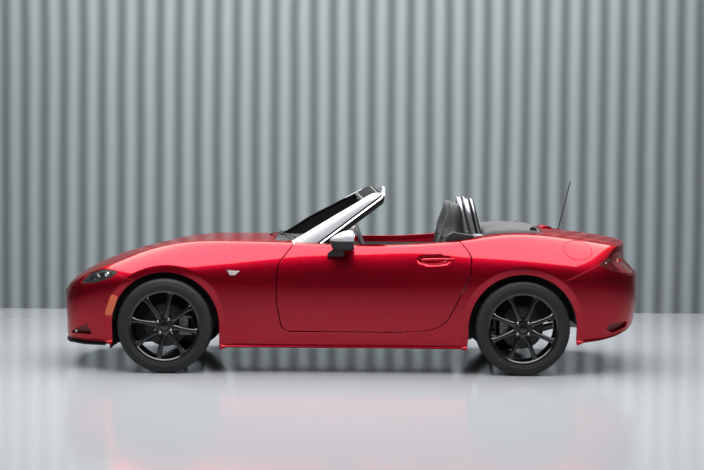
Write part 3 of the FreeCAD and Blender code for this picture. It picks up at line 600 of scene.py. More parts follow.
    def from_front(self, y: np.ndarray, z: np.ndarray, u_far: float) -> np.ndarray:
        """Finds skin coordinates of points drawn in front view, on the nose or the tail.

        Args:
            y: Half widths.
            z: Heights.
            u_far: The nearest u towards the middle of the car at which to stop looking.

        Returns:
            An array of (u, s).
        """
        end = -self.cap if u_far < self.length / 2 else self.length + self.cap
        small, large = np.full(len(y), end), np.full(len(y), u_far)
        point = np.column_stack([y, z])
        for _ in range(26):
            middle = (small + large) / 2
            _, lines = self.sections(middle)
            held = np.array([inside(np.vstack([line, line[::-1] * [-1, 1]]), p[None])[0]
                             for line, p in zip(lines, point)])
            large = np.where(held, middle, large)
            small = np.where(held, small, middle)
        _, lines = self.sections(large)
        s = np.array([nearest_mark(line, p) for line, p in zip(lines, point)])
        return np.column_stack([large, s])


def nearest_mark(line: np.ndarray, point: np.ndarray) -> float:
    """Finds the fractional index on a polyline that is nearest to a point."""
    step = np.diff(line, axis=0)
    t = np.clip(np.sum((point - line[:-1]) * step, 1) / np.maximum(np.sum(step * step, 1), 1e-12), 0, 1)
    gap = np.linalg.norm(line[:-1] + step * t[:, None] - point, axis=1)
    k = int(np.argmin(gap))
    return k + float(t[k])


# ------------------------------------------------------------------ shapes pressed into the skin
def smooth_step(t: np.ndarray) -> np.ndarray:
    """Eases from 0 to 1 as t goes from 0 to 1."""
    t = np.clip(t, 0, 1)
    return t * t * (3 - 2 * t)


@dataclass
class Modelling:
    """The shapes pressed into the painted skin: the flat band round each arch, and the handle cups."""

    arches: tuple[Triple, ...] = ((-1.200, 0.306, 0.350), (1.110, 0.306, 0.350))
    band: float = 0.044
    band_depth: float = 0.013
    crease: float = 0.10
    cup: tuple[float, float, float, float] = (0.532, 0.741, 0.112, 0.028)
    cup_depth: float = 0.022

    def depth(self, x: np.ndarray, y: np.ndarray, z: np.ndarray) -> np.ndarray:
        """Says how far the skin stands out of its plain shape.

        Args:
            x: Positions along the car.
            y: Positions across it.
            z: Heights.

        Returns:
            Metres outwards along the skin's normal, negative where it is pressed in.
        """
        out = np.zeros_like(x)
        side = smooth_step((np.abs(y) - 0.60) / 0.08)
        for cx, cz, radius in self.arches:
            reach = np.hypot(x - cx, np.maximum(z - cz, 0)) - radius
            share = np.minimum(1 - reach / self.band, 1.15)
            out -= self.band_depth * side * 0.5 * (share + np.sqrt(share ** 2 + self.crease ** 2))
        cx, cz, half, height = self.cup
        inside = np.clip(1 - ((x - cx) / half) ** 2 - ((z - cz) / height) ** 2, 0, 1)
        out -= self.cup_depth * side * smooth_step(inside * 1.5)
        return out

    def guides(self) -> list[np.ndarray]:
        """Lists the side-view lines that the meshes follow, as open lines of (x, z) points."""
        lines = []
        for cx, cz, radius in self.arches:
            for share in (0.45, 0.80, 0.92, 1.0, 1.08, 1.25):
                reach = radius + self.band * share
                turn = np.linspace(math.pi, 0, 72)
                arc = np.column_stack([cx + reach * np.cos(turn), cz + reach * np.sin(turn)])
                drop = np.linspace(cz, 0.19, 10)[1:]
                left = np.column_stack([np.full(9, cx - reach), drop[::-1]])
                right = np.column_stack([np.full(9, cx + reach), drop])
                lines.append(np.concatenate([left, arc, right]))
        cx, cz, half, height = self.cup
        turn = np.linspace(0, 2 * math.pi, 61)
        for share in (0.30, 0.58, 0.72, 0.84, 0.93, 1.0):
            lines.append(np.column_stack([cx + half * share * np.cos(turn), cz + height * share * np.sin(turn)]))
        return lines


@dataclass
class Surface:
    """The finished skin: the plain one with its modelling, with points and normals."""

    skin: BodySkin
    modelling: Modelling
    sink: float = 0.0

    def plain_normal(self, u: np.ndarray, s: np.ndarray) -> np.ndarray:
        """Finds outward normals of the plain skin."""
        up, down = np.clip(s + 0.4, 0, self.skin.last), np.clip(s - 0.4, 0, self.skin.last)
        along = self.skin.plain(u + 0.004, s) - self.skin.plain(u - 0.004, s)
        normal = np.cross(along, self.skin.plain(u, up) - self.skin.plain(u, down))
        return normal / np.maximum(np.linalg.norm(normal, axis=1)[:, None], 1e-9)

    def point(self, u: np.ndarray, s: np.ndarray) -> np.ndarray:
        """Finds points on the finished skin."""
        base = self.skin.plain(u, s)
        push = self.modelling.depth(base[:, 0], base[:, 1], base[:, 2]) - self.sink
        return base + self.plain_normal(u, s) * push[:, None]

    def normal(self, u: np.ndarray, s: np.ndarray) -> np.ndarray:
        """Finds outward normals of the finished skin."""
        up, down = np.clip(s + 0.25, 0, self.skin.last), np.clip(s - 0.25, 0, self.skin.last)
        along = self.point(u + 0.003, s) - self.point(u - 0.003, s)
        normal = np.cross(along, self.point(u, up) - self.point(u, down))
        normal[(s >= self.skin.last - 1e-6) | (s <= 1e-6), 1] = 0.0
        return normal / np.maximum(np.linalg.norm(normal, axis=1)[:, None], 1e-9)


# ------------------------------------------------------------------ outlines in the skin
def rounded(corners: Sequence[Triple], step: float = 0.012) -> np.ndarray:
    """Walks a closed outline whose corners are rounded.

    Args:
        corners: Two coordinates and a radius for each corner.
        step: Longest distance between points.

    Returns:
        Points as an (n, 2) array.
    """
    loop: list[np.ndarray] = []
    count = len(corners)
    for i, (a, b, radius) in enumerate(corners):
        here = np.array([a, b])
        if radius <= 0:
            loop.append(here)
            continue
        back = np.array(corners[i - 1][:2]) - here
        ahead = np.array(corners[(i + 1) % count][:2]) - here
        back, ahead = back / np.linalg.norm(back), ahead / np.linalg.norm(ahead)
        half = math.acos(float(np.clip(back @ ahead, -1, 1))) / 2
        middle = (back + ahead) / np.linalg.norm(back + ahead)
        centre = here + middle * radius / math.sin(half)
        start, end = here + back * radius / math.tan(half), here + ahead * radius / math.tan(half)
        turns = max(2, int(radius * (math.pi - 2 * half) / step) + 1, int((math.pi - 2 * half) / 0.3) + 1)
        for t in np.linspace(0, 1, turns + 1):
            chord = start * (1 - t) + end * t - centre
            loop.append(centre + chord * radius / np.linalg.norm(chord))
    walked = []
    for i, here in enumerate(loop):
        ahead = loop[(i + 1) % len(loop)]
        parts = max(1, int(np.linalg.norm(ahead - here) / step))
        walked.extend(here + (ahead - here) * k / parts for k in range(parts))
    return np.array(walked)


def grown(loop: np.ndarray, by: float) -> np.ndarray:
    """Offsets a closed loop outwards by a small distance.

    Args:
        loop: Points in order, either way round.
        by: How far outwards; negative shrinks it.

    Returns:
        The moved points.
    """
    area = np.sum(loop[:, 0] * np.roll(loop[:, 1], -1) - np.roll(loop[:, 0], -1) * loop[:, 1])
    edge = np.roll(loop, -1, 0) - np.roll(loop, 1, 0)
    out = np.column_stack([edge[:, 1], -edge[:, 0]]) * math.copysign(1, area)
    return loop + by * out / np.maximum(np.linalg.norm(out, axis=1)[:, None], 1e-9)


def inside(loop: np.ndarray, points: np.ndarray) -> np.ndarray:
    """Tests which points lie inside a closed loop."""
    hit = np.zeros(len(points), bool)
    for a, b in zip(loop, np.roll(loop, -1, 0)):
        cross = (a[1] > points[:, 1]) != (b[1] > points[:, 1])
        if cross.any():
            at = (b[0] - a[0]) * (points[cross, 1] - a[1]) / (b[1] - a[1]) + a[0]
            hit[cross] ^= points[cross, 0] < at
    return hit


@dataclass
class Region:
    """A closed loop in skin coordinates (u, s)."""

    loop: np.ndarray

    def holds(self, points: np.ndarray) -> np.ndarray:
        """Tests which (u, s) points it holds."""
        return inside(self.loop, points)


@dataclass
class Tailor:
    """Cuts panels out of the skin: regions by side view or plan, then meshes with turned edges."""

    surface: Surface
    pitch: float = 0.020
    weight: float = 0.011
    guides: list[np.ndarray] = field(default_factory=list)

    def __post_init__(self) -> None:
        """Collects the sharp lines that every mesh follows."""
        skin = self.surface.skin
        self.guides = list(skin.tail_lines())
        for line in self.surface.modelling.guides():
            u = skin.u_at(line[:, 0])
            self.guides.append(np.column_stack([u, skin.s_at_height(u, line[:, 1])]))

    def side(self, corners: Sequence[Triple], grow: float = 0.0) -> Region:
        """A region drawn in side view, as (x, z, radius) corners."""
        loop = grown(rounded(corners), grow)
        return self.from_side(loop)

    def from_side(self, loop: np.ndarray) -> Region:
        """Turns a side-view loop into skin coordinates; past the nose or tail it wraps round the end."""
        skin = self.surface.skin
        u = skin.u_at(loop[:, 0])
        s = np.maximum(skin.s_at_height(u, loop[:, 1]), skin.under + 0.6)
        u = np.where(loop[:, 0] < skin.x0 - 0.02, -skin.cap - 0.1, u)
        u = np.where(loop[:, 0] > skin.x1 + 0.02, skin.length + skin.cap + 0.1, u)
        return Region(np.column_stack([u, s]))

    def arch(self, arch: Triple, grow: float) -> Region:
        """A wheel opening: round above the axle and straight below it."""
        cx, cz, radius = arch[0], arch[1], arch[2] + grow
        turn = np.linspace(math.pi, 0, 110)
        over = np.column_stack([cx + radius * np.cos(turn), cz + radius * np.sin(turn)])
        drop = np.linspace(cz, 0.05, 14)[1:]
        right = np.column_stack([np.full(13, cx + radius), drop])
        left = np.column_stack([np.full(13, cx - radius), drop[::-1]])
        return self.from_side(np.concatenate([over, right, left]))

    def plan(self, corners: Sequence[Triple], grow: float = 0.0) -> Region:
        """A region drawn from above, as (x, half width, radius) corners of its left half."""
        loop = grown(rounded(corners), grow)
        skin = self.surface.skin
        u = skin.u_at(loop[:, 0])
        s = skin.s_at_width(u, np.maximum(loop[:, 1], 0))
        s = np.where(loop[:, 1] < 0, skin.last + 4, s)
        u = np.where(loop[:, 0] > skin.x1 + 0.02, skin.length + skin.cap + 0.1, u)
        return Region(np.column_stack([u, s]))

    def front(self, corners: Sequence[Triple], grow: float = 0.0) -> Region:
        """A region drawn from the front, as (half width, z, radius) corners of its left half."""
        loop = grown(rounded(corners), grow)
        skin = self.surface.skin
        spots = skin.from_front(np.abs(loop[:, 0]), loop[:, 1], skin.u_at(np.array([-1.5]))[0])
        return Region(spots)

    def back(self, corners: Sequence[Triple], grow: float = 0.0) -> Region:
        """A region drawn from behind, as (half width, z, radius) corners of its left half."""
        loop = grown(rounded(corners), grow)
        skin = self.surface.skin
        spots = skin.from_front(np.abs(loop[:, 0]), loop[:, 1], skin.u_at(np.array([1.5]))[0])
        return Region(spots)

    def cut(self, keep: Sequence[Region], drop: Sequence[Region]) -> tuple[np.ndarray, list[tuple[int, ...]]]:
        """Meshes the skin inside some regions and outside others.

        Args:
            keep: Regions that must all hold a point.
            drop: Regions none of which may hold it.

        Returns:
            Points in (u, s) and triangles.
        """
        scale = np.array([1.0, self.weight])
        low = np.max([r.loop.min(0) for r in keep], 0)
        high = np.min([r.loop.max(0) for r in keep], 0)
        last = self.surface.skin.last
        cap = self.surface.skin.cap * 0.94
        low = np.maximum(low, [-cap, 0])
        high = np.minimum(high, [self.surface.skin.length + cap, last])
        us = np.arange(low[0], high[0] + self.pitch, self.pitch)
        step = max(1, round(self.pitch / self.weight))
        ss = np.unique(np.concatenate([np.arange(0, last + 1, step), [last]]))
        ss = ss[(ss >= low[1]) & (ss <= high[1])]
        grid = np.array([(u, s) for u in us for s in ss], float).reshape(-1, 2)
        walls = []
        for region in list(keep) + list(drop):
            loop = region.loop.copy()
            loop[:, 1] = np.clip(loop[:, 1], 0, last)
            walls.append(loop)
        lines = [g[(g >= low - 0.02).all(1) & (g <= high + 0.02).all(1)] for g in self.guides]
        lines = [g for g in lines if len(g) > 1]
        fine = np.concatenate([w[(w >= low - 0.5).all(1) & (w <= high + 0.5).all(1)] for w in walls] + lines)
        held = np.ones(len(grid), bool)
        for start in range(0, len(grid), 2000):
            chunk = grid[start:start + 2000] * scale
            near = np.linalg.norm(chunk[:, None, :] - (fine * scale)[None], axis=2).min(1)
            held[start:start + 2000] = near > 0.45 * self.pitch
        points = [Vector(p) for p in grid[held] * scale]
        edges: list[tuple[int, int]] = []
        for loop in walls:
            first = len(points)
            points.extend(Vector(p) for p in loop * scale)
            size = len(loop)
            edges.extend((first + i, first + (i + 1) % size) for i in range(size))
        for line in lines:
            first = len(points)
            points.extend(Vector(p) for p in line * scale)
            near = np.linalg.norm(np.diff(line * scale, axis=0), axis=1) < 0.05
            edges.extend((first + i, first + i + 1) for i in range(len(line) - 1) if near[i])
        out, _, faces, *_ = delaunay_2d_cdt(points, edges, [], 0, 1e-6)
        flat = np.array([(p.x, p.y) for p in out])
        tris = [f for f in faces if len(f) == 3]
        centre = flat[np.array(tris)].mean(1) / scale
        good = np.ones(len(tris), bool)
        for region in keep:
            good &= region.holds(centre)
        for region in drop:
            good &= ~region.holds(centre)
        good &= (centre[:, 1] > 0) & (centre[:, 1] < last)
        chosen = [t for t, ok in zip(tris, good) if ok]
        used = sorted({i for t in chosen for i in t})
        index = {old: new for new, old in enumerate(used)}
        return flat[used] / scale, [tuple(index[i] for i in t) for t in chosen]

    def panel(self, name: str, keep: Sequence[Region], drop: Sequence[Region], side: Side | None,
              edge: Edge = Edge.TURNED, turn: float = 0.0022, reach: float = 0.018,
              sink: float = 0.0, closed: bool = False) -> bpy.types.Object:
        """Makes one panel as a Blender object.

        Args:
            name: The piece's name.
            keep: Regions that bound it.
            drop: Regions cut out of it.
            side: The side it stands on, or None for both halves in one piece.
            edge: How its edges end.
            turn: Radius of the turned edge.
            reach: How deep the turned edge goes.
            sink: How far the whole patch lies below the skin.
            closed: True to give it an inner face too, for panels that are seen from behind.

        Returns:
            The panel.
        """
        flat, tris = self.cut(keep, drop)
        u, s = flat[:, 0], flat[:, 1]
        surface = self.surface if sink == 0 else Surface(self.surface.skin, self.surface.modelling, sink)
        points, normals = surface.point(u, s), surface.normal(u, s)
        middle = (s > surface.skin.last - 1e-4) | (s < 1e-4)
        points[middle, 1] = 0.0
        faces = [t if np.dot(np.cross(points[t[1]] - points[t[0]], points[t[2]] - points[t[0]]),
                             normals[t[0]] + normals[t[1]] + normals[t[2]]) > 0 else (t[0], t[2], t[1]) for t in tris]
        if edge is Edge.TURNED:
            points, normals, faces = turn_edges(points, normals, faces, middle, turn, reach, closed)
        if side is Side.RIGHT:
            points, normals, faces = mirror(points, normals, faces)
        if side is None:
            twin, twin_normals, twin_faces = mirror(points, normals, faces)
            faces = faces + [tuple(i + len(points) for i in f) for f in twin_faces]
            points, normals = np.concatenate([points, twin]), np.concatenate([normals, twin_normals])
        return skin_mesh(name, points, normals, faces)


def mirror(points: np.ndarray, normals: np.ndarray,
           faces: list[tuple[int, ...]]) -> tuple[np.ndarray, np.ndarray, list[tuple[int, ...]]]:
    """Mirrors a mesh from the left side to the right."""
    flip = np.array([1.0, -1.0, 1.0])
    return points * flip, normals * flip, [tuple(reversed(f)) for f in faces]


def turn_edges(points: np.ndarray, normals: np.ndarray, faces: list[tuple[int, ...]], middle: np.ndarray,
               turn: float, reach: float, closed: bool) -> tuple[np.ndarray, np.ndarray, list[tuple[int, ...]]]:
    """Rolls a panel's free edges inwards over a small radius.

    Args:
        points: Vertex places.
        normals: Vertex normals.
        faces: Triangles, all facing outwards.
        middle: True for vertices on the car's middle plane, whose edges stay open.
        turn: Radius of the roll.
        reach: Depth of the flange behind it.
        closed: True to add an inner face that joins the flanges.

    Returns:
        The points, normals and faces with the flanges added.
    """
    owner: dict[tuple[int, int], int] = {}
    for face in faces:
        for a, b in zip(face, face[1:] + face[:1]):
            owner[(a, b)] = 1
    still = middle | ((np.abs(points[:, 1]) < 0.012) & (np.abs(points[:, 0]) > 1.93))
    rim = [(a, b) for a, b in owner if (b, a) not in owner and not (still[a] and still[b])]
    outward = np.zeros_like(points)
    for a, b in rim:
        way = np.cross(points[b] - points[a], normals[a] + normals[b])
        way /= max(np.linalg.norm(way), 1e-12)
        outward[a] += way
        outward[b] += way
    corners = sorted({i for pair in rim for i in pair})
    place = {old: k for k, old in enumerate(corners)}
    out = outward[corners]
    size = np.linalg.norm(out, axis=1)[:, None]
    out = out / np.maximum(size, 1e-9)
    base, up = points[corners], normals[corners]
    out -= up * np.sum(out * up, 1)[:, None]
    out /= np.maximum(np.linalg.norm(out, axis=1)[:, None], 1e-9)
    rings, ring_normals = [], []
    for angle in (30, 60, 90):
        c, s = math.cos(math.radians(angle)), math.sin(math.radians(angle))
        rings.append(base + out * turn * s - up * turn * (1 - c))
        ring_normals.append(up * c + out * s)
    rings.append(base + out * turn - up * (turn + reach))
    ring_normals.append(out)
    start = len(points)
    many = len(corners)
    added = list(faces)
    for level in range(4):
        for a, b in rim:
            i, j = place[a], place[b]
            near = (a, b) if level == 0 else (start + (level - 1) * many + i, start + (level - 1) * many + j)
            far = (start + level * many + i, start + level * many + j)
            added.append((near[1], near[0], far[0], far[1]))
    if closed:
        back = start + 4 * many
        last = {old: start + 3 * many + k for old, k in place.items()}
        added.extend(tuple(last.get(i, back + i) for i in reversed(face)) for face in faces)
        rings.append(points - normals * (turn + reach))
        ring_normals.append(-normals)
    return np.concatenate([points] + rings), np.concatenate([normals] + ring_normals), added


def skin_mesh(name: str, points: np.ndarray, normals: np.ndarray, faces: list[tuple[int, ...]]) -> bpy.types.Object:
    """Makes an object whose shading follows given vertex normals.

    Args:
        name: The piece's name.
        points: Vertex places in metres.
        normals: One outward normal for each vertex.
        faces: Vertex numbers of each face.

    Returns:
        The object, linked to the scene.
    """
    mesh = bpy.data.meshes.new(name)
    mesh.from_pydata(points.tolist(), [], faces)
    mesh.polygons.foreach_set("use_smooth", [True] * len(mesh.polygons))
    mesh.normals_split_custom_set_from_vertices(normals.tolist())
    mesh.update()
    piece = bpy.data.objects.new(name, mesh)
    bpy.context.scene.collection.objects.link(piece)
    return piece


# ------------------------------------------------------------------ plain forms
@dataclass
class Form:
    """The points and faces of a shape, before it becomes a Blender object."""

    points: np.ndarray
    faces: list[tuple[int, ...]]

    def __add__(self, other: "Form") -> "Form":
        """Puts two forms together."""
        start = len(self.points)
        return Form(np.vstack([self.points, other.points]),
                    self.faces + [tuple(i + start for i in f) for f in other.faces])

    def mirrored(self) -> "Form":
        """The same form on the car's other side."""
        return Form(self.points * [1, -1, 1], [tuple(reversed(f)) for f in self.faces])

    def on(self, side: Side) -> "Form":
        """The form for one side, given the left one."""
        return self if side is Side.LEFT else self.mirrored()

    def moved(self, by: Triple) -> "Form":
        """The same form somewhere else."""
        return Form(self.points + np.array(by), self.faces)

    def turned(self, angle: float, axis: Triple, about: Triple) -> "Form":
        """The same form turned about an axis, the angle in degrees."""
        turn = np.array(Matrix.Rotation(math.radians(angle), 3, Vector(axis)))
        return Form((self.points - about) @ turn.T + about, self.faces)

    def piece(self, name: str, bevel: float = 0.0, steps: int = 2, sharp: float = 32.0,
              soft: int = 0) -> bpy.types.Object:
        """Makes the Blender object.

        Args:
            name: The piece's name.
            bevel: Radius given to its edges.
            steps: How many faces round each edge.
            sharp: Angle in degrees above which an edge shows.
            soft: Levels of subdivision, for padded shapes.

        Returns:
            The object, linked to the scene.
        """
        mesh = bpy.data.meshes.new(name)
        mesh.from_pydata(self.points.tolist(), [], self.faces)
        work = bmesh.new()
        work.from_mesh(mesh)
        bmesh.ops.remove_doubles(work, verts=work.verts, dist=1e-6)
        bmesh.ops.recalc_face_normals(work, faces=work.faces)
        if bevel > 0:
            edges = [e for e in work.edges if e.is_manifold and e.calc_face_angle(0) > math.radians(26)]
            bmesh.ops.bevel(work, geom=edges, offset=bevel, segments=steps, profile=0.5, affect="EDGES",
                            clamp_overlap=True)
        work.to_mesh(mesh)
        work.free()
        piece = bpy.data.objects.new(name, mesh)
        bpy.context.scene.collection.objects.link(piece)
        if soft:
            subdivide(piece, soft)
        piece.data.polygons.foreach_set("use_smooth", [True] * len(piece.data.polygons))
        piece.data.set_sharp_from_angle(angle=math.radians(sharp))
        return piece


def subdivide(piece: bpy.types.Object, levels: int) -> None:
    """Rounds a piece by subdivision and keeps the result as its mesh."""
    modifier = piece.modifiers.new("round", "SUBSURF")
    modifier.levels = modifier.render_levels = levels
    settled = bpy.data.meshes.new_from_object(piece.evaluated_get(bpy.context.evaluated_depsgraph_get()))
    piece.modifiers.clear()
    piece.data = settled


def evenly(ring: np.ndarray, count: int) -> np.ndarray:
    """Walks a closed ring in equal steps.

    Args:
        ring: Its points.
        count: How many points to return.

    Returns:
        The new points, from the same first point.
    """
    line = np.vstack([ring, ring[:1]])
    at = np.concatenate([[0], np.cumsum(np.linalg.norm(np.diff(line, axis=0), axis=1))])
    reach = np.linspace(0, at[-1], count, endpoint=False)
    return np.column_stack([np.interp(reach, at, column) for column in line.T])


def loft(rings: Sequence[np.ndarray], closed: bool = True, capped: bool = True) -> Form:
    """Joins rings; rings of unlike counts are walked evenly first.

    Args:
        rings: The rings in order.
        closed: True where each ring's last point joins its first.
        capped: True to close both ends.

    Returns:
        The form.
    """
    count = max(len(ring) for ring in rings)
    if any(len(ring) != count for ring in rings):
        rings = [evenly(ring, count) for ring in rings]
    faces = []
    for k in range(len(rings) - 1):
        for i in range(count if closed else count - 1):
            j = (i + 1) % count
            faces.append((k * count + i, k * count + j, (k + 1) * count + j, (k + 1) * count + i))
    if capped and closed:
        faces.append(tuple(reversed(range(count))))
        faces.append(tuple(range((len(rings) - 1) * count, len(rings) * count)))
    return Form(np.vstack(rings).astype(float), faces)


def side_plate(corners: Sequence[Triple], y0: float, y1: float, step: float = 0.02) -> Form:
    """An outline in side view, as thick as from y0 to y1."""
    loop = rounded(corners, step)
    return loft([np.column_stack([loop[:, 0], np.full(len(loop), y), loop[:, 1]]) for y in (y0, y1)])


def front_plate(corners: Sequence[Triple], x0: float, x1: float, step: float = 0.02) -> Form:
    """An outline of y and z corners, as thick as from x0 to x1."""
    loop = rounded(corners, step)
    return loft([np.column_stack([np.full(len(loop), x), loop]) for x in (x0, x1)])


def top_plate(corners: Sequence[Triple], z0: float, z1: float, step: float = 0.02) -> Form:
    """An outline of x and y corners, as thick as from z0 to z1."""
    loop = rounded(corners, step)
    return loft([np.column_stack([loop, np.full(len(loop), z)]) for z in (z0, z1)])


def cuboid(low: Triple, high: Triple) -> Form:
    """A block between two corners, to be rounded by its bevel."""
    (x0, y0, z0), (x1, y1, z1) = low, high
    return top_plate(((x0, y0, 0), (x1, y0, 0), (x1, y1, 0), (x0, y1, 0)), z0, z1, 9.0)


def turned_about(profile: Sequence[Pair], centre: Triple, axis: Triple, count: int = 96, closed: bool = True) -> Form:
    """Turns a profile of radius and height about an axis.

    Args:
        profile: Radius and distance along the axis, metres.
        centre: A point on the axis.
        axis: Its direction.
        count: Points round it.
        closed: True where the profile is a closed loop.

    Returns:
        The form.
    """
    way = Vector(axis).normalized()
    first = way.orthogonal().normalized()
    if abs(way.y) > 0.9:
        first = Vector((1, 0, 0))
    second = way.cross(first)
    turn = np.linspace(0, 2 * math.pi, count, endpoint=False)
    spokes = np.outer(np.cos(turn), np.array(first)) + np.outer(np.sin(turn), np.array(second))
    rings = [np.array(centre) + np.array(way) * h + spokes * max(r, 1e-5) for r, h in profile]
    form = loft(rings, True, not closed)
    if closed:
        last = (len(rings) - 1) * count
        form.faces += [(last + i, last + (i + 1) % count, (i + 1) % count, i) for i in range(count)]
    return form


def tube(path: Sequence[Triple], radius: float | Sequence[float], sides: int = 12, ring: bool = False,
         flat: float = 1.0, up: Triple = (0, 0, 1)) -> Form:
    """A round or oval bar along a path.

    Args:
        path: Its middle line.
        radius: Its radius, or one for each point.
        sides: Points round it.
        ring: True where the path closes on itself.
        flat: Share of the radius kept across the up direction.
        up: The direction that flat is measured in.

    Returns:
        The form.
    """
    line = np.array(path, float)
    radii = np.full(len(line), radius) if isinstance(radius, float) else np.array(radius)
    way = np.roll(line, -1, 0) - np.roll(line, 1, 0)
    if not ring:
        way[0], way[-1] = line[1] - line[0], line[-1] - line[-2]
    way /= np.linalg.norm(way, axis=1)[:, None]
    turn = np.linspace(0, 2 * math.pi, sides, endpoint=False)
    rings = []
    for here, along, size in zip(line, way, radii):
        across = np.cross(along, up)
        across /= max(np.linalg.norm(across), 1e-9)
        over = np.cross(across, along)
        rings.append(here + size * (np.outer(np.cos(turn), across) + flat * np.outer(np.sin(turn), over)))
    form = loft(rings, True, not ring)
    if ring:
        last = (len(rings) - 1) * sides
        form.faces += [(last + i, last + (i + 1) % sides, (i + 1) % sides, i) for i in range(sides)]
    return form


def curve(points: Sequence[Sequence[float]], count: int) -> np.ndarray:
    """Runs a smooth line through a few points.

    Args:
        points: The points.
        count: How many points to return.

    Returns:
        Points spaced along the line.
    """
    knots = np.array(points, float)
    at = np.concatenate([[0], np.cumsum(np.linalg.norm(np.diff(knots, axis=0), axis=1))])
    return natural_spline(at, knots)(np.linspace(0, at[-1], count))


# ------------------------------------------------------------------ drawing of the panels
def metres(rows: Iterable[Triple]) -> tuple[Triple, ...]:
    """Turns a drawing's millimetres into metres."""
    return tuple((a / 1000, b / 1000, r / 1000) for a, b, r in rows)


@dataclass(frozen=True)
class Drawing:
    """The panel outlines, as corners with radii.  Side views give x and z, plans give x and half width."""

    door: tuple[Triple, ...] = metres((
        (-440, 276, 60), (-482, 480, 500), (-474, 700, 130), (-325, 900, 0),
        (650, 920, 0), (776, 770, 105), (764, 640, 220), (592, 292, 200), (300, 276, 300)))
    bonnet: tuple[Triple, ...] = metres((
        (-505, 600, 20), (-505, -60, 0), (-1855, -60, 0), (-1855, 330, 220), (-1640, 480, 300), (-1200, 570, 1500)))
    boot_lid: tuple[Triple, ...] = metres((
        (1290, -60, 0), (1290, 560, 60), (1760, 500, 400), (2100, 455, 0), (2100, -60, 0)))
    lid_foot: float = 0.655
    roof_well: tuple[Triple, ...] = metres(((800, -60, 0), (800, 628, 20), (1080, 622, 600), (1268, 545, 90),
                                            (1268, -60, 0)))
    headlamp: tuple[Triple, ...] = metres((
        (-1764, 566, 6), (-1712, 630, 90), (-1610, 666, 160), (-1502, 652, 6), (-1562, 606, 50), (-1660, 574, 60)))
    tail_lamp: tuple[Triple, ...] = metres((
        (1596, 722, 6), (1650, 756, 60), (1770, 790, 60), (2100, 784, 0), (2100, 648, 0), (1850, 655, 60),
        (1680, 680, 60)))
    bumper_line: tuple[Triple, ...] = metres((
        (-2100, 100, 0), (-1200, 100, 0), (-1380, 588, 0), (-1530, 640, 10), (-1548, 760, 0), (-2100, 760, 0)))
    rear_bumper: tuple[Triple, ...] = metres((
        (2100, 100, 0), (1180, 100, 0), (1375, 612, 0), (1600, 722, 10), (1745, 644, 20), (2100, 644, 0)))
    mouth: tuple[Triple, ...] = metres((
        (-60, 470, 0), (300, 470, 30), (560, 330, 50), (480, 262, 30), (-60, 262, 0)))
    sill: tuple[Triple, ...] = metres((
        (-900, 100, 0), (742, 100, 0), (776, 378, 0), (330, 378, 0), (330, 268, 0), (-900, 268, 0)))
    cockpit: tuple[Triple, ...] = metres(((-900, -60, 0), (801, -60, 0), (801, 700, 0), (-900, 700, 0)))
    flap: Triple = (1.465, 0.809, 0.091)
    front_arch: Triple = (-1.200, 0.306, 0.350)
    rear_arch: Triple = (1.110, 0.306, 0.350)
    gap: float = 0.005
    roll: float = 0.0022


def block(x0: float, x1: float, z0: float, z1: float) -> tuple[Triple, ...]:
    """A plain rectangle in side view."""
    return ((x0, z0, 0.0), (x1, z0, 0.0), (x1, z1, 0.0), (x0, z1, 0.0))


def dress(piece: bpy.types.Object, finish: Finish, body: str, nodes: Sequence[str] = ()) -> bpy.types.Object:
    """Gives a piece its finish, its body and the nodes that it stands for.

    Args:
        piece: The Blender object.
        finish: Its finish.
        body: The CAD body that it moves with.
        nodes: CAD nodes that it replaces.

    Returns:
        The same piece.
    """
    piece.data.materials.append(finish.material())
    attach(piece, body)
    if nodes:
        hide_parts(*nodes)
    LOG.info("%s rides on %s", piece.name, body)
    return piece


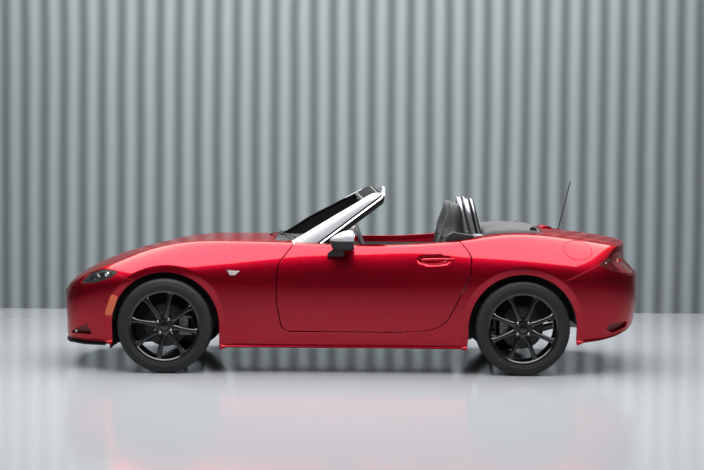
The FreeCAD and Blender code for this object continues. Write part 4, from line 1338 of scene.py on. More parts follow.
@dataclass
class BodyPanels:
    """The painted panels: bonnet, wings, doors, sills, rear wings, boot lid and bumpers."""

    tailor: Tailor
    lines: Drawing = Drawing()
    seam: float = 0.0012

    def build(self) -> None:
        """Makes every painted panel and dresses it."""
        t, d = self.tailor, self.lines
        self.arch_front, self.arch_rear = t.arch(d.front_arch, d.roll), t.arch(d.rear_arch, d.roll)
        self.door_hole = t.side(d.door, d.gap + d.roll)
        self.cockpit = t.plan(d.cockpit)
        self.front()
        self.doors()
        self.rear()

    def front(self) -> None:
        """Makes the bonnet, the front wings and the front bumper."""
        t, d, seam = self.tailor, self.lines, self.seam
        bonnet, bonnet_hole = t.plan(d.bonnet, -d.roll), t.plan(d.bonnet, d.gap + d.roll)
        lamp, nose = t.side(d.headlamp, seam), t.side(d.bumper_line, seam)
        cowl = t.plan(metres(((-502, -60, 0), (-250, -60, 0), (-250, 605, 0), (-502, 605, 0))))
        flank = t.side(block(-1.56, -0.382, 0.268 + seam, 1.3))
        for side in Side:
            tag = side.name.lower()
            drop = [nose, bonnet_hole, self.door_hole, self.arch_front, lamp, cowl]
            self.paint(t.panel(f"wing_skin_{tag}", [flank], drop, side), "body", f"wing_{tag}")
        self.paint(t.panel("bonnet_skin", [bonnet], [], None, closed=True), "bonnet", "bonnet")
        end = t.side(block(-2.1, -1.376, 0.05, 1.3))
        bumper = t.side(d.bumper_line, -seam)
        drop = [bonnet_hole, lamp, self.arch_front, t.front(d.mouth, 0.0), t.side(Lamps.recess)]
        self.paint(t.panel("front_bumper_skin", [bumper, end], drop, None), "body", "front_bumper")

    def doors(self) -> None:
        """Makes the door skins and the sills."""
        t, d = self.tailor, self.lines
        door, sill = t.side(d.door, -d.roll), t.side(d.sill, -self.seam)
        for side in Side:
            tag = side.name.lower()
            skin = t.panel(f"door_skin_{tag}", [door], [self.cockpit], side, reach=0.026, closed=True)
            self.paint(skin, f"door_{tag}", f"door_{tag}")
            drop = [self.door_hole, self.arch_front, self.arch_rear]
            self.paint(t.panel(f"sill_skin_{tag}", [sill], drop, side), "body", f"sill_{tag}")

    def rear(self) -> None:
        """Makes the rear wings, the boot lid and the rear bumper."""
        t, d, seam = self.tailor, self.lines, self.seam
        low_edge = t.side(block(1.2, 2.1, 0.05, d.lid_foot + d.roll))
        lid, lid_hole = t.plan(d.boot_lid, -d.roll), t.plan(d.boot_lid, d.gap + d.roll)
        tail, well = t.side(d.tail_lamp, seam), t.plan(d.roof_well)
        haunch = t.side(block(0.6, 2.1, 0.378 + seam, 1.3))
        for side in Side:
            tag = side.name.lower()
            drop = [t.side(d.rear_bumper, seam), tail, self.door_hole, lid_hole, well, self.arch_rear, self.cockpit]
            if side is Side.LEFT:
                drop.append(self.flap_region(d.gap))
            self.paint(t.panel(f"rear_wing_skin_{tag}", [haunch], drop, side), "body", f"rear_wing_{tag}")
        self.paint(t.panel("boot_lid_skin", [lid], [low_edge], None, closed=True), "boot_lid", "boot_lid")
        bumper, end = t.side(d.rear_bumper, -seam), t.side(block(1.3, 2.1, 0.05, 1.3))
        holes = [self.arch_rear, tail, t.side(RearTrim.corner), t.back(RearTrim.tunnel)]
        self.paint(t.panel("rear_bumper_skin", [bumper, end], holes, None), "body", "rear_bumper")
        flap = t.panel("fuel_flap_skin", [self.flap_region(0.0)], [], Side.LEFT, closed=True, reach=0.006)
        self.paint(flap, "fuel_flap", "fuel_flap")

    def flap_region(self, grow: float) -> Region:
        """The fuel flap's oval in skin coordinates."""
        cx, cz, half = self.lines.flap
        skin = self.tailor.surface.skin
        turn = np.linspace(0, 2 * math.pi, 72, endpoint=False)
        u = skin.u_at(cx + (half + grow) * np.cos(turn))
        s = skin.s_at_height(skin.u_at(np.full(72, cx)), cz + (half * 0.62 + grow) * np.sin(turn))
        return Region(np.column_stack([u, s]))

    def paint(self, piece: bpy.types.Object, body: str, node: str) -> None:
        """Paints a panel red."""
        dress(piece, Finishes.PAINT, body, [node])


# ------------------------------------------------------------------ wheels and brakes
@dataclass
class Wheel:
    """One wheel: treaded tyre, black rim with eight spokes, blank centre cap, nuts and brake disc.

    Heights in the profiles are from the wheel's centre plane, negative outwards.
    """

    place: str
    side: Side
    first_spoke: float
    radius: float = 0.306
    half_track: float = 0.748
    spokes: int = 8
    blocks: int = 76
    grooves: tuple[float, ...] = (-0.048, -0.017, 0.017, 0.048)

    @property
    def tag(self) -> str:
        """The end of its node names, such as front_left."""
        return f"{self.place}_{self.side.name.lower()}"

    @property
    def centre(self) -> Triple:
        """The middle of the left wheel of its axle."""
        low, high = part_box(f"wheel_{self.place}_left")
        return ((low[0] + high[0]) / 2, -self.half_track, self.radius)

    def build(self) -> None:
        """Makes the tyre, the rim and the disc."""
        body = f"wheel_{self.tag}"
        dress(self.tyre().on(self.side).piece(f"tyre_skin_{self.tag}", sharp=40), Finishes.TYRE, body,
              [f"tyre_{self.tag}"])
        rim = self.rim().on(self.side).piece(f"rim_{self.tag}", sharp=30)
        dress(rim, Finishes.BLACK_WHEEL, body, [f"wheel_{self.tag}"])
        spokes = self.spoke_set().on(self.side).piece(f"spokes_{self.tag}", bevel=0.0022)
        dress(spokes, Finishes.BLACK_WHEEL, body)
        dress(self.nuts().on(self.side).piece(f"nuts_{self.tag}", bevel=0.0012), Finishes.NUT, body)
        dress(self.disc().on(self.side).piece(f"disc_{self.tag}", sharp=30), Finishes.IRON, body)

    def tyre(self) -> Form:
        """Makes the tyre with four grooves, cut shoulders and ribbed walls."""
        half = 0.0705
        crown = [(0.3065 - 0.0012 * (h / half) ** 2 - 0.0005, h) for h in (-0.0705, -0.060)]
        outer = [(0.218, -0.0885), (0.225, -0.0925), (0.2335, -0.0945), (0.2345, -0.0975), (0.239, -0.0985),
                 (0.2500, -0.1010), (0.2585, -0.1020), (0.2600, -0.1026), (0.2625, -0.1026), (0.2640, -0.1018),
                 (0.2720, -0.1012), (0.2800, -0.0998), (0.2900, -0.0972), (0.2975, -0.0930), (0.3015, -0.0880),
                 (0.3040, -0.0800)] + crown
        tread: list[Pair] = []
        for middle in self.grooves:
            for by, deep in ((-0.0050, 0.0), (-0.0038, 0.0065), (0.0038, 0.0065), (0.0050, 0.0)):
                tread.append((0.3058 - deep, middle + by))
            if middle < 0.04:
                tread.append((0.3058, middle + 0.0155))
        right = [(r, -h) for r, h in reversed(outer)]
        inner = [(0.218, 0.078), (0.238, 0.080), (0.256, 0.088), (0.280, 0.087), (0.292, 0.078), (0.294, 0.0),
                 (0.292, -0.078), (0.280, -0.087), (0.256, -0.088), (0.238, -0.080), (0.218, -0.078)]
        profile = np.array(outer + tread + right + inner)
        count = self.blocks * 4
        turn = np.linspace(0, 2 * math.pi, count, endpoint=False)
        rings = []
        step = np.arange(count)
        for r, h in profile:
            reach = np.full(count, r)
            angle = turn + (abs(h) - 0.05) * 0.9 * (r > 0.298) * (abs(h) < 0.095)
            if r > 0.3005 and abs(h) > 0.052:
                reach -= np.where(step % 4 == 0, 0.0042, 0.0)
            if 0.3050 < r and abs(h) < 0.045:
                reach -= np.where(step % 8 == 0, 0.0032, 0.0)
            if 0.264 < r < 0.291 and abs(h) > 0.095:
                h = h + math.copysign(1, h) * np.where(step % 2 == 0, 0.0, -0.0005)
            x, _, z = self.centre
            rings.append(np.column_stack([x + reach * np.cos(angle), np.broadcast_to(self.centre[1] + h, count),
                                          z + reach * np.sin(angle)]))
        form = loft(rings, True, False)
        last = (len(rings) - 1) * count
        form.faces += [(last + i, last + (i + 1) % count, (i + 1) % count, i) for i in range(count)]
        return form

    def rim(self) -> Form:
        """Makes the barrel with its flanges, and the hub behind the spokes."""
        barrel = [(0.2358, -0.0960), (0.2358, -0.0922), (0.2178, -0.0880), (0.2178, 0.0880), (0.2358, 0.0921),
                  (0.2358, 0.0960), (0.2300, 0.0965), (0.2120, 0.0880), (0.2095, 0.0600), (0.2040, 0.0200),
                  (0.2040, -0.0300), (0.2070, -0.0620), (0.2100, -0.0800), (0.2135, -0.0880), (0.2200, -0.0935),
                  (0.2290, -0.0968)]
        hub = [(0.0, -0.0905), (0.020, -0.0900), (0.0275, -0.0880), (0.0280, -0.0850), (0.0300, -0.0850),
               (0.0310, -0.0880), (0.0350, -0.0885), (0.0640, -0.0840), (0.0670, -0.0800), (0.0680, -0.0560),
               (0.0600, -0.0240), (0.0600, 0.0320), (0.0, 0.0320)]
        return (turned_about(barrel, self.centre, (0, 1, 0), 128)
                + turned_about(hub, self.centre, (0, 1, 0), 64, False))

    def spoke_set(self) -> Form:
        """Makes the eight spokes, slim in the middle and spread at the rim."""
        rows = ((0.050, 0.0235, -0.0850, -0.0560), (0.072, 0.0195, -0.0885, -0.0580), (0.100, 0.0160, -0.0905, -0.0600),
                (0.145, 0.0140, -0.0915, -0.0620), (0.180, 0.0150, -0.0910, -0.0620), (0.200, 0.0185, -0.0895, -0.0600),
                (0.2125, 0.0250, -0.0870, -0.0570))
        rings = []
        for reach, half, front, back in rows:
            edge = front + 0.0075
            rings.append(np.array([(reach, front, -half * 0.55), (reach, front, half * 0.55), (reach, edge, half),
                                   (reach, back, half * 1.05), (reach, back, -half * 1.05), (reach, edge, -half)]))
        spoke = loft(rings)
        whole = None
        for i in range(self.spokes):
            one = spoke.turned(self.first_spoke + i * 360 / self.spokes, (0, 1, 0), (0, 0, 0)).moved(self.centre)
            whole = one if whole is None else whole + one
        return whole

    def nuts(self) -> Form:
        """Makes four wheel nuts."""
        whole = None
        for i in range(4):
            angle = math.radians(self.first_spoke + 22.5 + 90 * i)
            at = (self.centre[0] + 0.050 * math.cos(angle), self.centre[1], self.centre[2] - 0.050 * math.sin(angle))
            nut = turned_about([(0.0, -0.0955), (0.0070, -0.0955), (0.0098, -0.0925), (0.0098, -0.078), (0.0, -0.078)],
                               at, (0, 1, 0), 6, False)
            whole = nut if whole is None else whole + nut
        return whole

    def disc(self) -> Form:
        """Makes the brake disc and its bell."""
        profile = [(0.060, 0.024), (0.060, -0.022), (0.074, -0.022), (0.078, -0.016), (0.078, 0.000), (0.082, 0.002),
                   (0.136, 0.002), (0.1395, 0.004), (0.1395, 0.009), (0.132, 0.0105), (0.132, 0.0155), (0.1395, 0.017),
                   (0.1395, 0.022), (0.136, 0.024)]
        return turned_about(profile, self.centre, (0, 1, 0), 96)


@dataclass
class Brake:
    """A light-alloy caliper over the brake disc, with its bridge, bores and pins."""

    place: str
    side: Side
    body: str
    way: int
    half_track: float = 0.748
    axle_z: float = 0.306

    def build(self) -> None:
        """Makes the caliper; the disc runs between its two halves."""
        low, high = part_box(f"wheel_{self.place}_left")
        x = (low[0] + high[0]) / 2
        near, far = x + self.way * 0.089, x + self.way * 0.171
        x0, x1 = min(near, far), max(near, far)
        z = self.axle_z
        outer = cuboid((x0, -0.7805, z - 0.061), (x1, -0.7555, z + 0.061))
        bridge = cuboid((far - self.way * 0.026, -0.7805, z - 0.050), (far, -0.6775, z + 0.050))
        inner = cuboid((x0, -0.7145, z - 0.061), (x1, -0.6775, z + 0.061))
        rib = cuboid((min(near, near + self.way * 0.05), -0.7850, z - 0.012),
                     (max(near, near + self.way * 0.05), -0.7790, z + 0.012))
        form = outer + bridge + inner + rib
        for dz in (-0.034, 0.034):
            at = (x + self.way * 0.128, 0.0, z + dz)
            form = form + turned_about([(0.0, -0.7870), (0.0150, -0.7870), (0.0185, -0.7830), (0.0185, -0.7780),
                                        (0.0, -0.7780)], at, (0, 1, 0), 24, False)
        name = f"caliper_{self.place}_{self.side.name.lower()}"
        dress(form.on(self.side).piece(name, bevel=0.004, steps=3), Finishes.ALLOY, self.body)


# ------------------------------------------------------------------ lamps and badges in the skin
@dataclass
class Lamps:
    """Head and tail lamps, side markers and repeaters, each set in the painted skin."""

    tailor: Tailor
    lines: Drawing = Drawing()
    marker: tuple[Triple, ...] = metres(((-1592, 374, 12), (-1549, 502, 12), (-1507, 492, 12), (-1552, 360, 12)))
    repeater: tuple[Triple, ...] = metres(((-806, 668, 4), (-712, 663, 3), (-748, 633, 8), (-780, 633, 10)))
    recess: tuple[Triple, ...] = metres(((-1838, 244, 6), (-1820, 258, 6), (-1716, 310, 8), (-1682, 236, 10),
                                         (-1832, 234, 6)))

    def build(self) -> None:
        """Makes every lamp on both sides."""
        for side in Side:
            self.headlamp(side)
            self.tail_lamp(side)
            self.small(side)

    def on_skin(self, x: float, z: float) -> tuple[np.ndarray, np.ndarray]:
        """Finds a point of the left skin in side view, and its normal."""
        skin = self.tailor.surface.skin
        u = skin.u_at(np.array([x]))
        s = skin.s_at_height(u, np.array([z]))
        return self.tailor.surface.point(u, s)[0], self.tailor.surface.normal(u, s)[0]

    def unit(self, x: float, z: float, sink: float, radius: float, way: Triple) -> tuple[Form, Form]:
        """A round lamp unit sunk behind the skin.

        Args:
            x: Its place along the car.
            z: Its height.
            sink: How far behind the skin its rim lies.
            radius: Its outside radius.
            way: The direction it shines in.

        Returns:
            Its bright ring and its glass eye.
        """
        point, normal = self.on_skin(x, z)
        at = tuple(point - normal * sink)
        ring = turned_about([(radius * 0.70, 0.0), (radius * 0.76, 0.004), (radius, 0.003), (radius, -0.018),
                             (radius * 0.66, -0.018)], at, way, 40)
        dome = [(radius * 0.70 * math.cos(math.radians(a)), radius * 0.34 * math.sin(math.radians(a)) - 0.004)
                for a in range(90, -1, -15)]
        return ring, turned_about(dome + [(radius * 0.70, -0.016), (0.0, -0.016)], at, way, 40, False)

    def headlamp(self, side: Side) -> None:
        """Makes a headlamp: clear lens, dark bowl, bezel, a projector and a reflector."""
        t, d, tag = self.tailor, self.lines, side.name.lower()
        bonnet_hole = t.plan(d.bonnet, d.gap + d.roll)
        shape = t.side(d.headlamp, -0.0012)
        lens = t.panel(f"headlamp_lens_{tag}", [shape], [bonnet_hole], side, reach=0.004, turn=0.0015)
        dress(lens, Finishes.LENS, "body", [f"headlamp_{tag}"])
        rim = t.panel(f"headlamp_bezel_{tag}", [t.side(d.headlamp, -0.0035)], [bonnet_hole, t.side(d.headlamp, -0.016)],
                      side, sink=0.005, reach=0.030)
        dress(rim, Finishes.BLACK_GLOSS, "body")
        bowl = t.panel(f"headlamp_bowl_{tag}", [t.side(d.headlamp, -0.002)], [t.plan(d.bonnet, 0.004)], side,
                       Edge.OPEN, sink=0.034)
        dress(bowl, Finishes.BLACK_GLOSS, "body")
        way = (-0.80, -0.58, 0.12)
        _, front_eye = self.unit(-1.735, 0.582, 0.010, 0.010, way)
        main_ring, main_eye = self.unit(-1.664, 0.617, 0.020, 0.028, way)
        high_ring, high_eye = self.unit(-1.590, 0.637, 0.014, 0.019, way)
        dress((main_ring + main_eye).on(side).piece(f"headlamp_projector_{tag}", sharp=35), Finishes.GLASS_EYE, "body")
        dress(high_ring.on(side).piece(f"headlamp_rings_{tag}", sharp=30), Finishes.CHROME, "body")
        # The near-white eyes are painted glints.
        dress((front_eye + high_eye).on(side).piece(f"headlamp_eyes_{tag}", sharp=50), Finishes.EYE_PAINTED_GLINT, "body")
        low = [self.on_skin(x, z) for x, z in ((-1.742, 0.574), (-1.700, 0.577), (-1.660, 0.585), (-1.620, 0.596))]
        strip = tube([tuple(p - n * 0.012) for p, n in low], 0.0028, 8).on(side)
        dress(strip.piece(f"headlamp_day_strip_{tag}", sharp=50), Finishes.GLASS_EYE, "body")

    def tail_lamp(self, side: Side) -> None:
        """Makes a tail lamp: smoked and red lenses over a bowl in a darker red that is painted shade, with a round red
        light.
        """
        t, d, tag = self.tailor, self.lines, side.name.lower()
        lid_hole = t.plan(d.boot_lid, d.gap + d.roll)
        shape, split = t.side(d.tail_lamp, -0.0012), 1.772
        front, back = t.side(block(1.5, split, 0.5, 0.9)), t.side(block(split + 0.0008, 2.1, 0.5, 0.9))
        lens = t.panel(f"tail_lens_red_{tag}", [shape, back], [lid_hole], side, reach=0.003, turn=0.0012)
        dress(lens, Finishes.LENS_RED, "body", [f"tail_lamp_{tag}"])
        smoked = t.panel(f"tail_lens_smoked_{tag}", [shape, front], [lid_hole], side, reach=0.003, turn=0.0012)
        dress(smoked, Finishes.LENS_SMOKE, "body")
        rim = t.panel(f"tail_bezel_{tag}", [t.side(d.tail_lamp, -0.003)], [lid_hole, t.side(d.tail_lamp, -0.012)], side,
                      sink=0.004, reach=0.024)
        dress(rim, Finishes.BLACK_GLOSS, "body")
        bowl = t.panel(f"tail_bowl_{tag}", [t.side(d.tail_lamp, -0.002)], [t.plan(d.boot_lid, 0.004)], side, Edge.OPEN,
                       sink=0.026)
        # The bowl's darker red is painted shade inside the lamp.
        dress(bowl, Finishes.PAINT_SHADED, "body")
        bar = [self.on_skin(x, z) for x, z in ((1.655, 0.728), (1.690, 0.738), (1.725, 0.744), (1.760, 0.746))]
        light = tube([tuple(p - n * 0.013) for p, n in bar], [0.004, 0.009, 0.012, 0.010], 10).on(side)
        dress(light.piece(f"tail_side_reflector_{tag}", sharp=50), Finishes.CHROME, "body")
        skin = t.surface.skin
        x = float(skin.tail_limit(np.array([0.575]), np.array([0.712]))[0])
        way = (0.86, -0.46, 0.12)
        at = (x - 0.012, -0.568, 0.715)
        ring = turned_about([(0.026, 0.0), (0.028, 0.004), (0.037, 0.003), (0.037, -0.010), (0.025, -0.010)], at, way,
                            48)
        dress(ring.on(side).piece(f"tail_ring_{tag}", sharp=35), Finishes.LIGHT_RED, "body")
        eye = turned_about([(0.0, 0.005), (0.012, 0.004), (0.021, 0.0), (0.023, -0.008), (0.0, -0.008)], at, way, 40,
                           False)
        dress(eye.on(side).piece(f"tail_eye_{tag}", sharp=35), Finishes.CHROME, "body")

    def small(self, side: Side) -> None:
        """Makes the amber marker, the side repeater and the lamp in the bumper's lower corner."""
        t, tag = self.tailor, side.name.lower()
        marker = t.panel(f"side_marker_{tag}", [t.side(self.marker)], [], side, sink=-0.003, reach=0.006)
        dress(marker, Finishes.AMBER, "body")
        base = t.panel(f"repeater_base_{tag}", [t.side(self.repeater)], [], side, sink=-0.002, reach=0.006)
        dress(base, Finishes.BLACK_GLOSS, "body")
        eye = t.panel(f"repeater_lens_{tag}", [t.side(self.repeater, -0.0045)], [], side, sink=-0.0042, reach=0.004)
        dress(eye, Finishes.PEARL, "body")
        bowl = t.panel(f"corner_bowl_{tag}", [t.side(self.recess, 0.003)], [], side, Edge.OPEN, sink=0.026)
        # The recess is painted in a darker red as painted shade.
        dress(bowl, Finishes.PAINT_SHADED, "body")
        point, normal = self.on_skin(-1.812, 0.246)
        at = tuple(point - normal * 0.012)
        ring = turned_about([(0.0, 0.004), (0.006, 0.003), (0.008, 0.0), (0.008, -0.012), (0.0, -0.012)], at,
                            tuple(normal), 24, False)
        # The small near-white lamp is a painted glint.
        dress(ring.on(side).piece(f"corner_lamp_{tag}", sharp=40), Finishes.EYE_PAINTED_GLINT, "body")


# ------------------------------------------------------------------ nose trim
@dataclass
class NoseTrim:
    """What fills the mouth: a backing, curved slats, a blank plate carrier; ."""

    tailor: Tailor
    lines: Drawing = Drawing()
    slat_z: tuple[float, ...] = (0.285, 0.312, 0.339, 0.366, 0.393, 0.420, 0.447)
    plate_half: float = 0.155
    plate_z: Pair = (0.362, 0.498)

    def skin_x(self, y: float, z: float) -> float:
        """Finds the x of the nose at a half width and height."""
        skin = self.tailor.surface.skin
        spot = skin.from_front(np.array([abs(y)]), np.array([z]), skin.u_at(np.array([-1.5]))[0])
        return float(skin.plain(spot[:, 0], spot[:, 1])[0, 0])

    def build(self) -> None:
        """Makes the trim."""
        t, d = self.tailor, self.lines
        backing = t.panel("mouth_backing", [t.front(d.mouth, 0.012)], [], None, Edge.OPEN, sink=0.060)
        dress(backing, Finishes.BLACK_GLOSS, "body")
        slats = None
        for z in self.slat_z:
            half = 0.30 + (0.26 * (0.470 - z) / 0.140 if z > 0.330 else 0.26 - 0.08 * (0.330 - z) / 0.068) - 0.012
            ys = np.linspace(-half, half, 25)
            path = [(self.skin_x(y, z) + 0.030, y, z) for y in ys]
            bar = tube(path, 0.0105, 10, flat=0.35)
            slats = bar if slats is None else slats + bar
        posts = None
        for y in (-0.36, -0.12, 0.12, 0.36):
            post = tube([(self.skin_x(y, z) + 0.040, y, z) for z in (0.275, 0.33, 0.39, 0.455)], 0.006, 8, up=(0, 1, 0))
            posts = post if posts is None else posts + post
        dress((slats + posts).piece("grille_slats", sharp=40), Finishes.PLASTIC, "body", ["grille"])
        low, high = self.plate_z
        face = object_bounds()[0][0]
        carrier = front_plate(((-self.plate_half, low, 0.010), (self.plate_half, low, 0.010),
                               (self.plate_half, high, 0.010), (-self.plate_half, high, 0.010)), face, face + 0.012)
        bracket = cuboid((face + 0.010, -0.025, low + 0.018), (face + 0.065, 0.025, high - 0.033))
        dress((carrier + bracket).piece("front_plate_carrier", bevel=0.0025, steps=2), Finishes.PLASTIC, "body")
        holes = None
        for y in (-0.0889, 0.0889):
            hole = turned_about([(0.0, 0.0), (0.003, 0.0), (0.0052, 0.0006), (0.0052, 0.002), (0.0, 0.002)],
                                (face - 0.0003, y, (low + high) / 2), (1, 0, 0), 20, False)
            holes = hole if holes is None else holes + hole
        dress(holes.piece("front_plate_hole_rims", sharp=40), Finishes.RUBBER, "body")


# ------------------------------------------------------------------ mirrors
@dataclass
class Mirror:
    """A door mirror: bright cap over a black shell on a black foot, and its glass.

    Each row is a section: x, y of its middle, half width, lower z, upper z, millimetres.
    """

    side: Side
    rows: tuple[tuple[float, ...], ...] = (
        (-136, -868, 22, 860, 872), (-128, -870, 48, 824, 883), (-112, -873, 73, 808, 896), (-82, -877, 86, 803, 913),
        (-45, -880, 92, 803, 928), (-16, -881, 93.5, 803, 934), (6, -881, 93, 804, 930), (16, -880, 90, 811, 919))
    split: float = 0.866

    def ring(self, row: tuple[float, ...], lower: bool, count: int = 17) -> np.ndarray:
        """Half of one rounded section, above or below the split line."""
        x, y, half, low, high = (v / 1000 for v in row)
        mid = min(max(self.split, low + 0.004), high - 0.004)
        reach = (mid - low) if lower else (high - mid)
        turn = np.linspace(0, math.pi, count)
        power = 0.62
        ys = y - half * np.sign(np.cos(turn)) * np.abs(np.cos(turn)) ** power
        zs = mid + (-1 if lower else 1) * reach * np.abs(np.sin(turn)) ** power
        return np.column_stack([np.full(count, x), ys, zs])

    def build(self) -> None:
        """Makes the cap, the shell, the foot and the glass."""
        tag, body = self.side.name.lower(), f"door_{self.side.name.lower()}"
        for lower, name, finish, slot in ((False, "mirror_cap", Finishes.SILVER, "silver_trim"),
                                          (True, "mirror_shell", Finishes.PLASTIC, "black_plastic")):
            form = loft([self.ring(row, lower) for row in self.rows])
            nodes = [f"mirror_{tag}"] if not lower else []
            dress(form.on(self.side).piece(f"{name}_{tag}", bevel=0.0015, sharp=50), finish, body, nodes)
        whole = [np.vstack([self.ring(self.rows[-1], False), self.ring(self.rows[-1], True)[::-1][1:-1]])]
        middle = whole[0].mean(0)
        glass = loft([(whole[0] - middle) * [1, 0.90, 0.90] + middle + [dx, 0, 0] for dx in (0.0005, 0.0025)])
        dress(glass.on(self.side).piece(f"mirror_glass_{tag}", bevel=0.0008), Finishes.CHROME, body)
        foot = loft([np.column_stack([loop[:, 0], loop[:, 1], np.full(len(loop), z)]) for loop, z in (
            (rounded(metres(((-156, -822, 14), (-156, -752, 14), (-42, -752, 14), (-42, -822, 14)))), 0.762),
            (rounded(metres(((-150, -838, 14), (-150, -770, 14), (-44, -770, 14), (-44, -838, 14)))), 0.785),
            (rounded(metres(((-124, -872, 14), (-124, -806, 14), (-42, -806, 14), (-42, -872, 14)))), 0.806),
            (rounded(metres(((-108, -900, 14), (-108, -836, 14), (-40, -836, 14), (-40, -900, 14)))), 0.826))])
        dress(foot.on(self.side).piece(f"mirror_foot_{tag}", bevel=0.003), Finishes.PLASTIC, body)


# ------------------------------------------------------------------ windscreen
@dataclass
class Windscreen:
    """The raked screen: bright pillars and header, seals, glass with its dark border, inner mirror, wipers."""

    base_z: float = 0.806
    foot: Pair = (0.700, 0.780)
    corner: Pair = (0.574, 1.166)
    top: float = 1.206
    rear: float = 0.213

    def x_at(self, y: float, z: float) -> float:
        """Finds the x of the screen's front face."""
        edge = -0.383 + (z - 0.844) * 536 / 322
        middle = -0.470 + (z - 0.886) * 601 / 312 - 0.038 * float(smooth_step(np.array((z - 0.89) / 0.13)))
        half = 0.694 - (z - 0.831) * 0.34
        return middle + (edge - middle) * (y / half) ** 2

    @staticmethod
    def depth_at(z: float) -> float:
        """How far back the bright section reaches at a height."""
        return 0.178 - (min(max(z, 0.83), 1.2) - 0.83) * 0.34

    def path(self, inset: float) -> np.ndarray:
        """Walks the screen's outline in front view from left foot to right foot, moved inwards."""
        half, shoulder = self.corner
        header = [(y, self.top - (self.top - shoulder) * (y / half) ** 2, 0.0) for y in np.linspace(-half, 0, 10)[1:]]
        left = np.array(rounded(((-self.foot[0], self.foot[1], 0), (-half, shoulder, 0.075), *header, (0, self.foot[1],
                                                                                                       0)),
                                0.02))[:-1]
        left = left[np.argmin(left[:, 0]):]
        rise = np.linspace(0, 1, 14)[:, None]
        line = np.vstack([left[0] + (left[1] - left[0]) * rise[:-1], left[1:]])
        line = np.vstack([line, (line * [-1, 1])[-2::-1]])
        way = np.gradient(line, axis=0)
        way /= np.linalg.norm(way, axis=1)[:, None]
        return line + inset * np.column_stack([way[:, 1], -way[:, 0]])

    def band(self, section: Callable[[float], Sequence[Pair]], low: float, reach: Pair = (0.0, 9.0)) -> Form:
        """Sweeps a section round the outline.

        Args:
            section: From a height to corners of inset and depth behind the screen's face.
            low: The height at which the band starts.
            reach: The half widths between which it runs.

        Returns:
            The band.
        """
        lines = {inset: self.path(inset) for inset, _ in section(1.0)}
        rings = []
        for k, (_, height) in enumerate(self.path(0.0)):
            spots = [(*lines[inset][k], deep) for inset, deep in section(float(height))]
            ring = np.array([(self.x_at(y, z) + deep, y, z) for y, z, deep in spots])
            ring[:, 0] = np.minimum(ring[:, 0], self.rear + 0.010 * (1 - (ring[:, 1] / 0.57) ** 2))
            rings.append(ring)
        kept = [r for r in rings if r[:, 2].mean() > low and reach[0] <= abs(r[:, 1].mean()) <= reach[1]]
        if reach[0] <= 0:
            return loft(kept)
        return loft([r for r in kept if r[0, 1] < 0]) + loft([r for r in kept if r[0, 1] > 0])

    def build(self) -> None:
        """Makes every piece of the screen."""
        def bright(z: float) -> list[Pair]:
            """The bright section: deep at the foot, slimmer at the header."""
            deep = self.depth_at(z)
            return [(0.040, 0.004), (0.014, 0.0), (0.006, 0.0015), (0.0015, 0.006), (0.0, 0.014), (0.0, deep - 0.012),
                    (0.002, deep - 0.004), (0.009, deep), (0.040, deep)]

        def dark(z: float) -> list[Pair]:
            """The seal behind it."""
            deep = self.depth_at(z)
            return [(0.010, deep - 0.004), (0.007, deep + 0.008), (0.012, deep + 0.018), (0.010, deep + 0.044),
                    (0.014, deep + 0.056), (0.011, deep + 0.066), (0.017, deep + 0.092), (0.024, deep + 0.096),
                    (0.040, deep + 0.092), (0.040, deep - 0.004)]

        def thin(z: float) -> list[Pair]:
            """A bright line between the two lips of the seal."""
            deep = self.depth_at(z)
            return [(0.0075, deep + 0.016), (0.0050, deep + 0.022), (0.0050, deep + 0.030), (0.0075, deep + 0.036),
                    (0.016, deep + 0.036), (0.016, deep + 0.016)]

        header = self.band(bright, 0.80, (0.0, 0.535)).piece("screen_header", sharp=50)
        dress(header, Finishes.RUBBER, "body")
        for name, inset, depth, thick in (("screen_glass_edge", 0.040, 0.002, 0.0028), ("header_line", 0.001, 0.024,
                                                                                        0.0028)):
            spots = [(self.x_at(y, z) + depth, y, z) for y, z in self.path(inset) if abs(y) < 0.53 and z > 1.12]
            dress(tube(spots, thick, 8).piece(name, sharp=60), Finishes.SILVER, "body")
        spots = [(self.rear - 0.006 + 0.010 * (1 - (y / 0.57) ** 2), y, z) for y, z in self.path(0.012) if z > 1.13]
        dress(tube(spots, 0.0135, 12).piece("header_rear_trim", sharp=60), Finishes.SILVER, "body")
        frame = self.band(bright, 0.80, (0.530, 9.0)).piece("screen_frame", sharp=50)
        dress(frame, Finishes.SILVER, "body", ["windscreen_frame"])
        dress(self.band(dark, 0.83).piece("screen_seal", sharp=50), Finishes.RUBBER, "body")
        dress(self.band(thin, 0.83).piece("screen_bright_line", sharp=40), Finishes.CHROME, "body")
        self.glass()
        self.inner_mirror()
        self.wipers()

    def sheet(self, inset: float, depth: float, hole: float | None = None) -> Form:
        """A patch of the screen's surface inside the outline, or a border of it."""
        line = self.path(inset)
        if hole is not None:
            keep = line[:, 1] > self.base_z
            rings = [np.array([(self.x_at(y, z) + depth, y, z) for y, z in ring[keep]]) for ring in (line,
                                                                                                     self.path(hole))]
            return loft(rings, False, False)
        left = line[: len(line) // 2 + 1]
        rows = []
        for z in np.linspace(self.base_z, left[-1, 1] - 0.0005, 26):
            half = max(float(np.interp(z, left[:, 1], -left[:, 0])), 0.001)
            rows.append(np.array([(self.x_at(y, z) + depth, y, z) for y in np.linspace(-half, half, 33)]))
        return loft(rows, False, False)

    def glass(self) -> None:
        """Makes the pane with its dark border."""
        pane = self.sheet(0.030, 0.014) + self.sheet(0.030, 0.019)
        # The pane's pale colour is partly its tint and partly painted reflection.
        dress(pane.piece("screen_glass", sharp=60), Finishes.GLASS_TINT_AND_PAINTED_REFLECTION, "body", ["windscreen_glass"])
        border = self.sheet(0.030, 0.0125, 0.052)
        dress(border.piece("screen_border", sharp=60), Finishes.BLACK_GLOSS, "body")

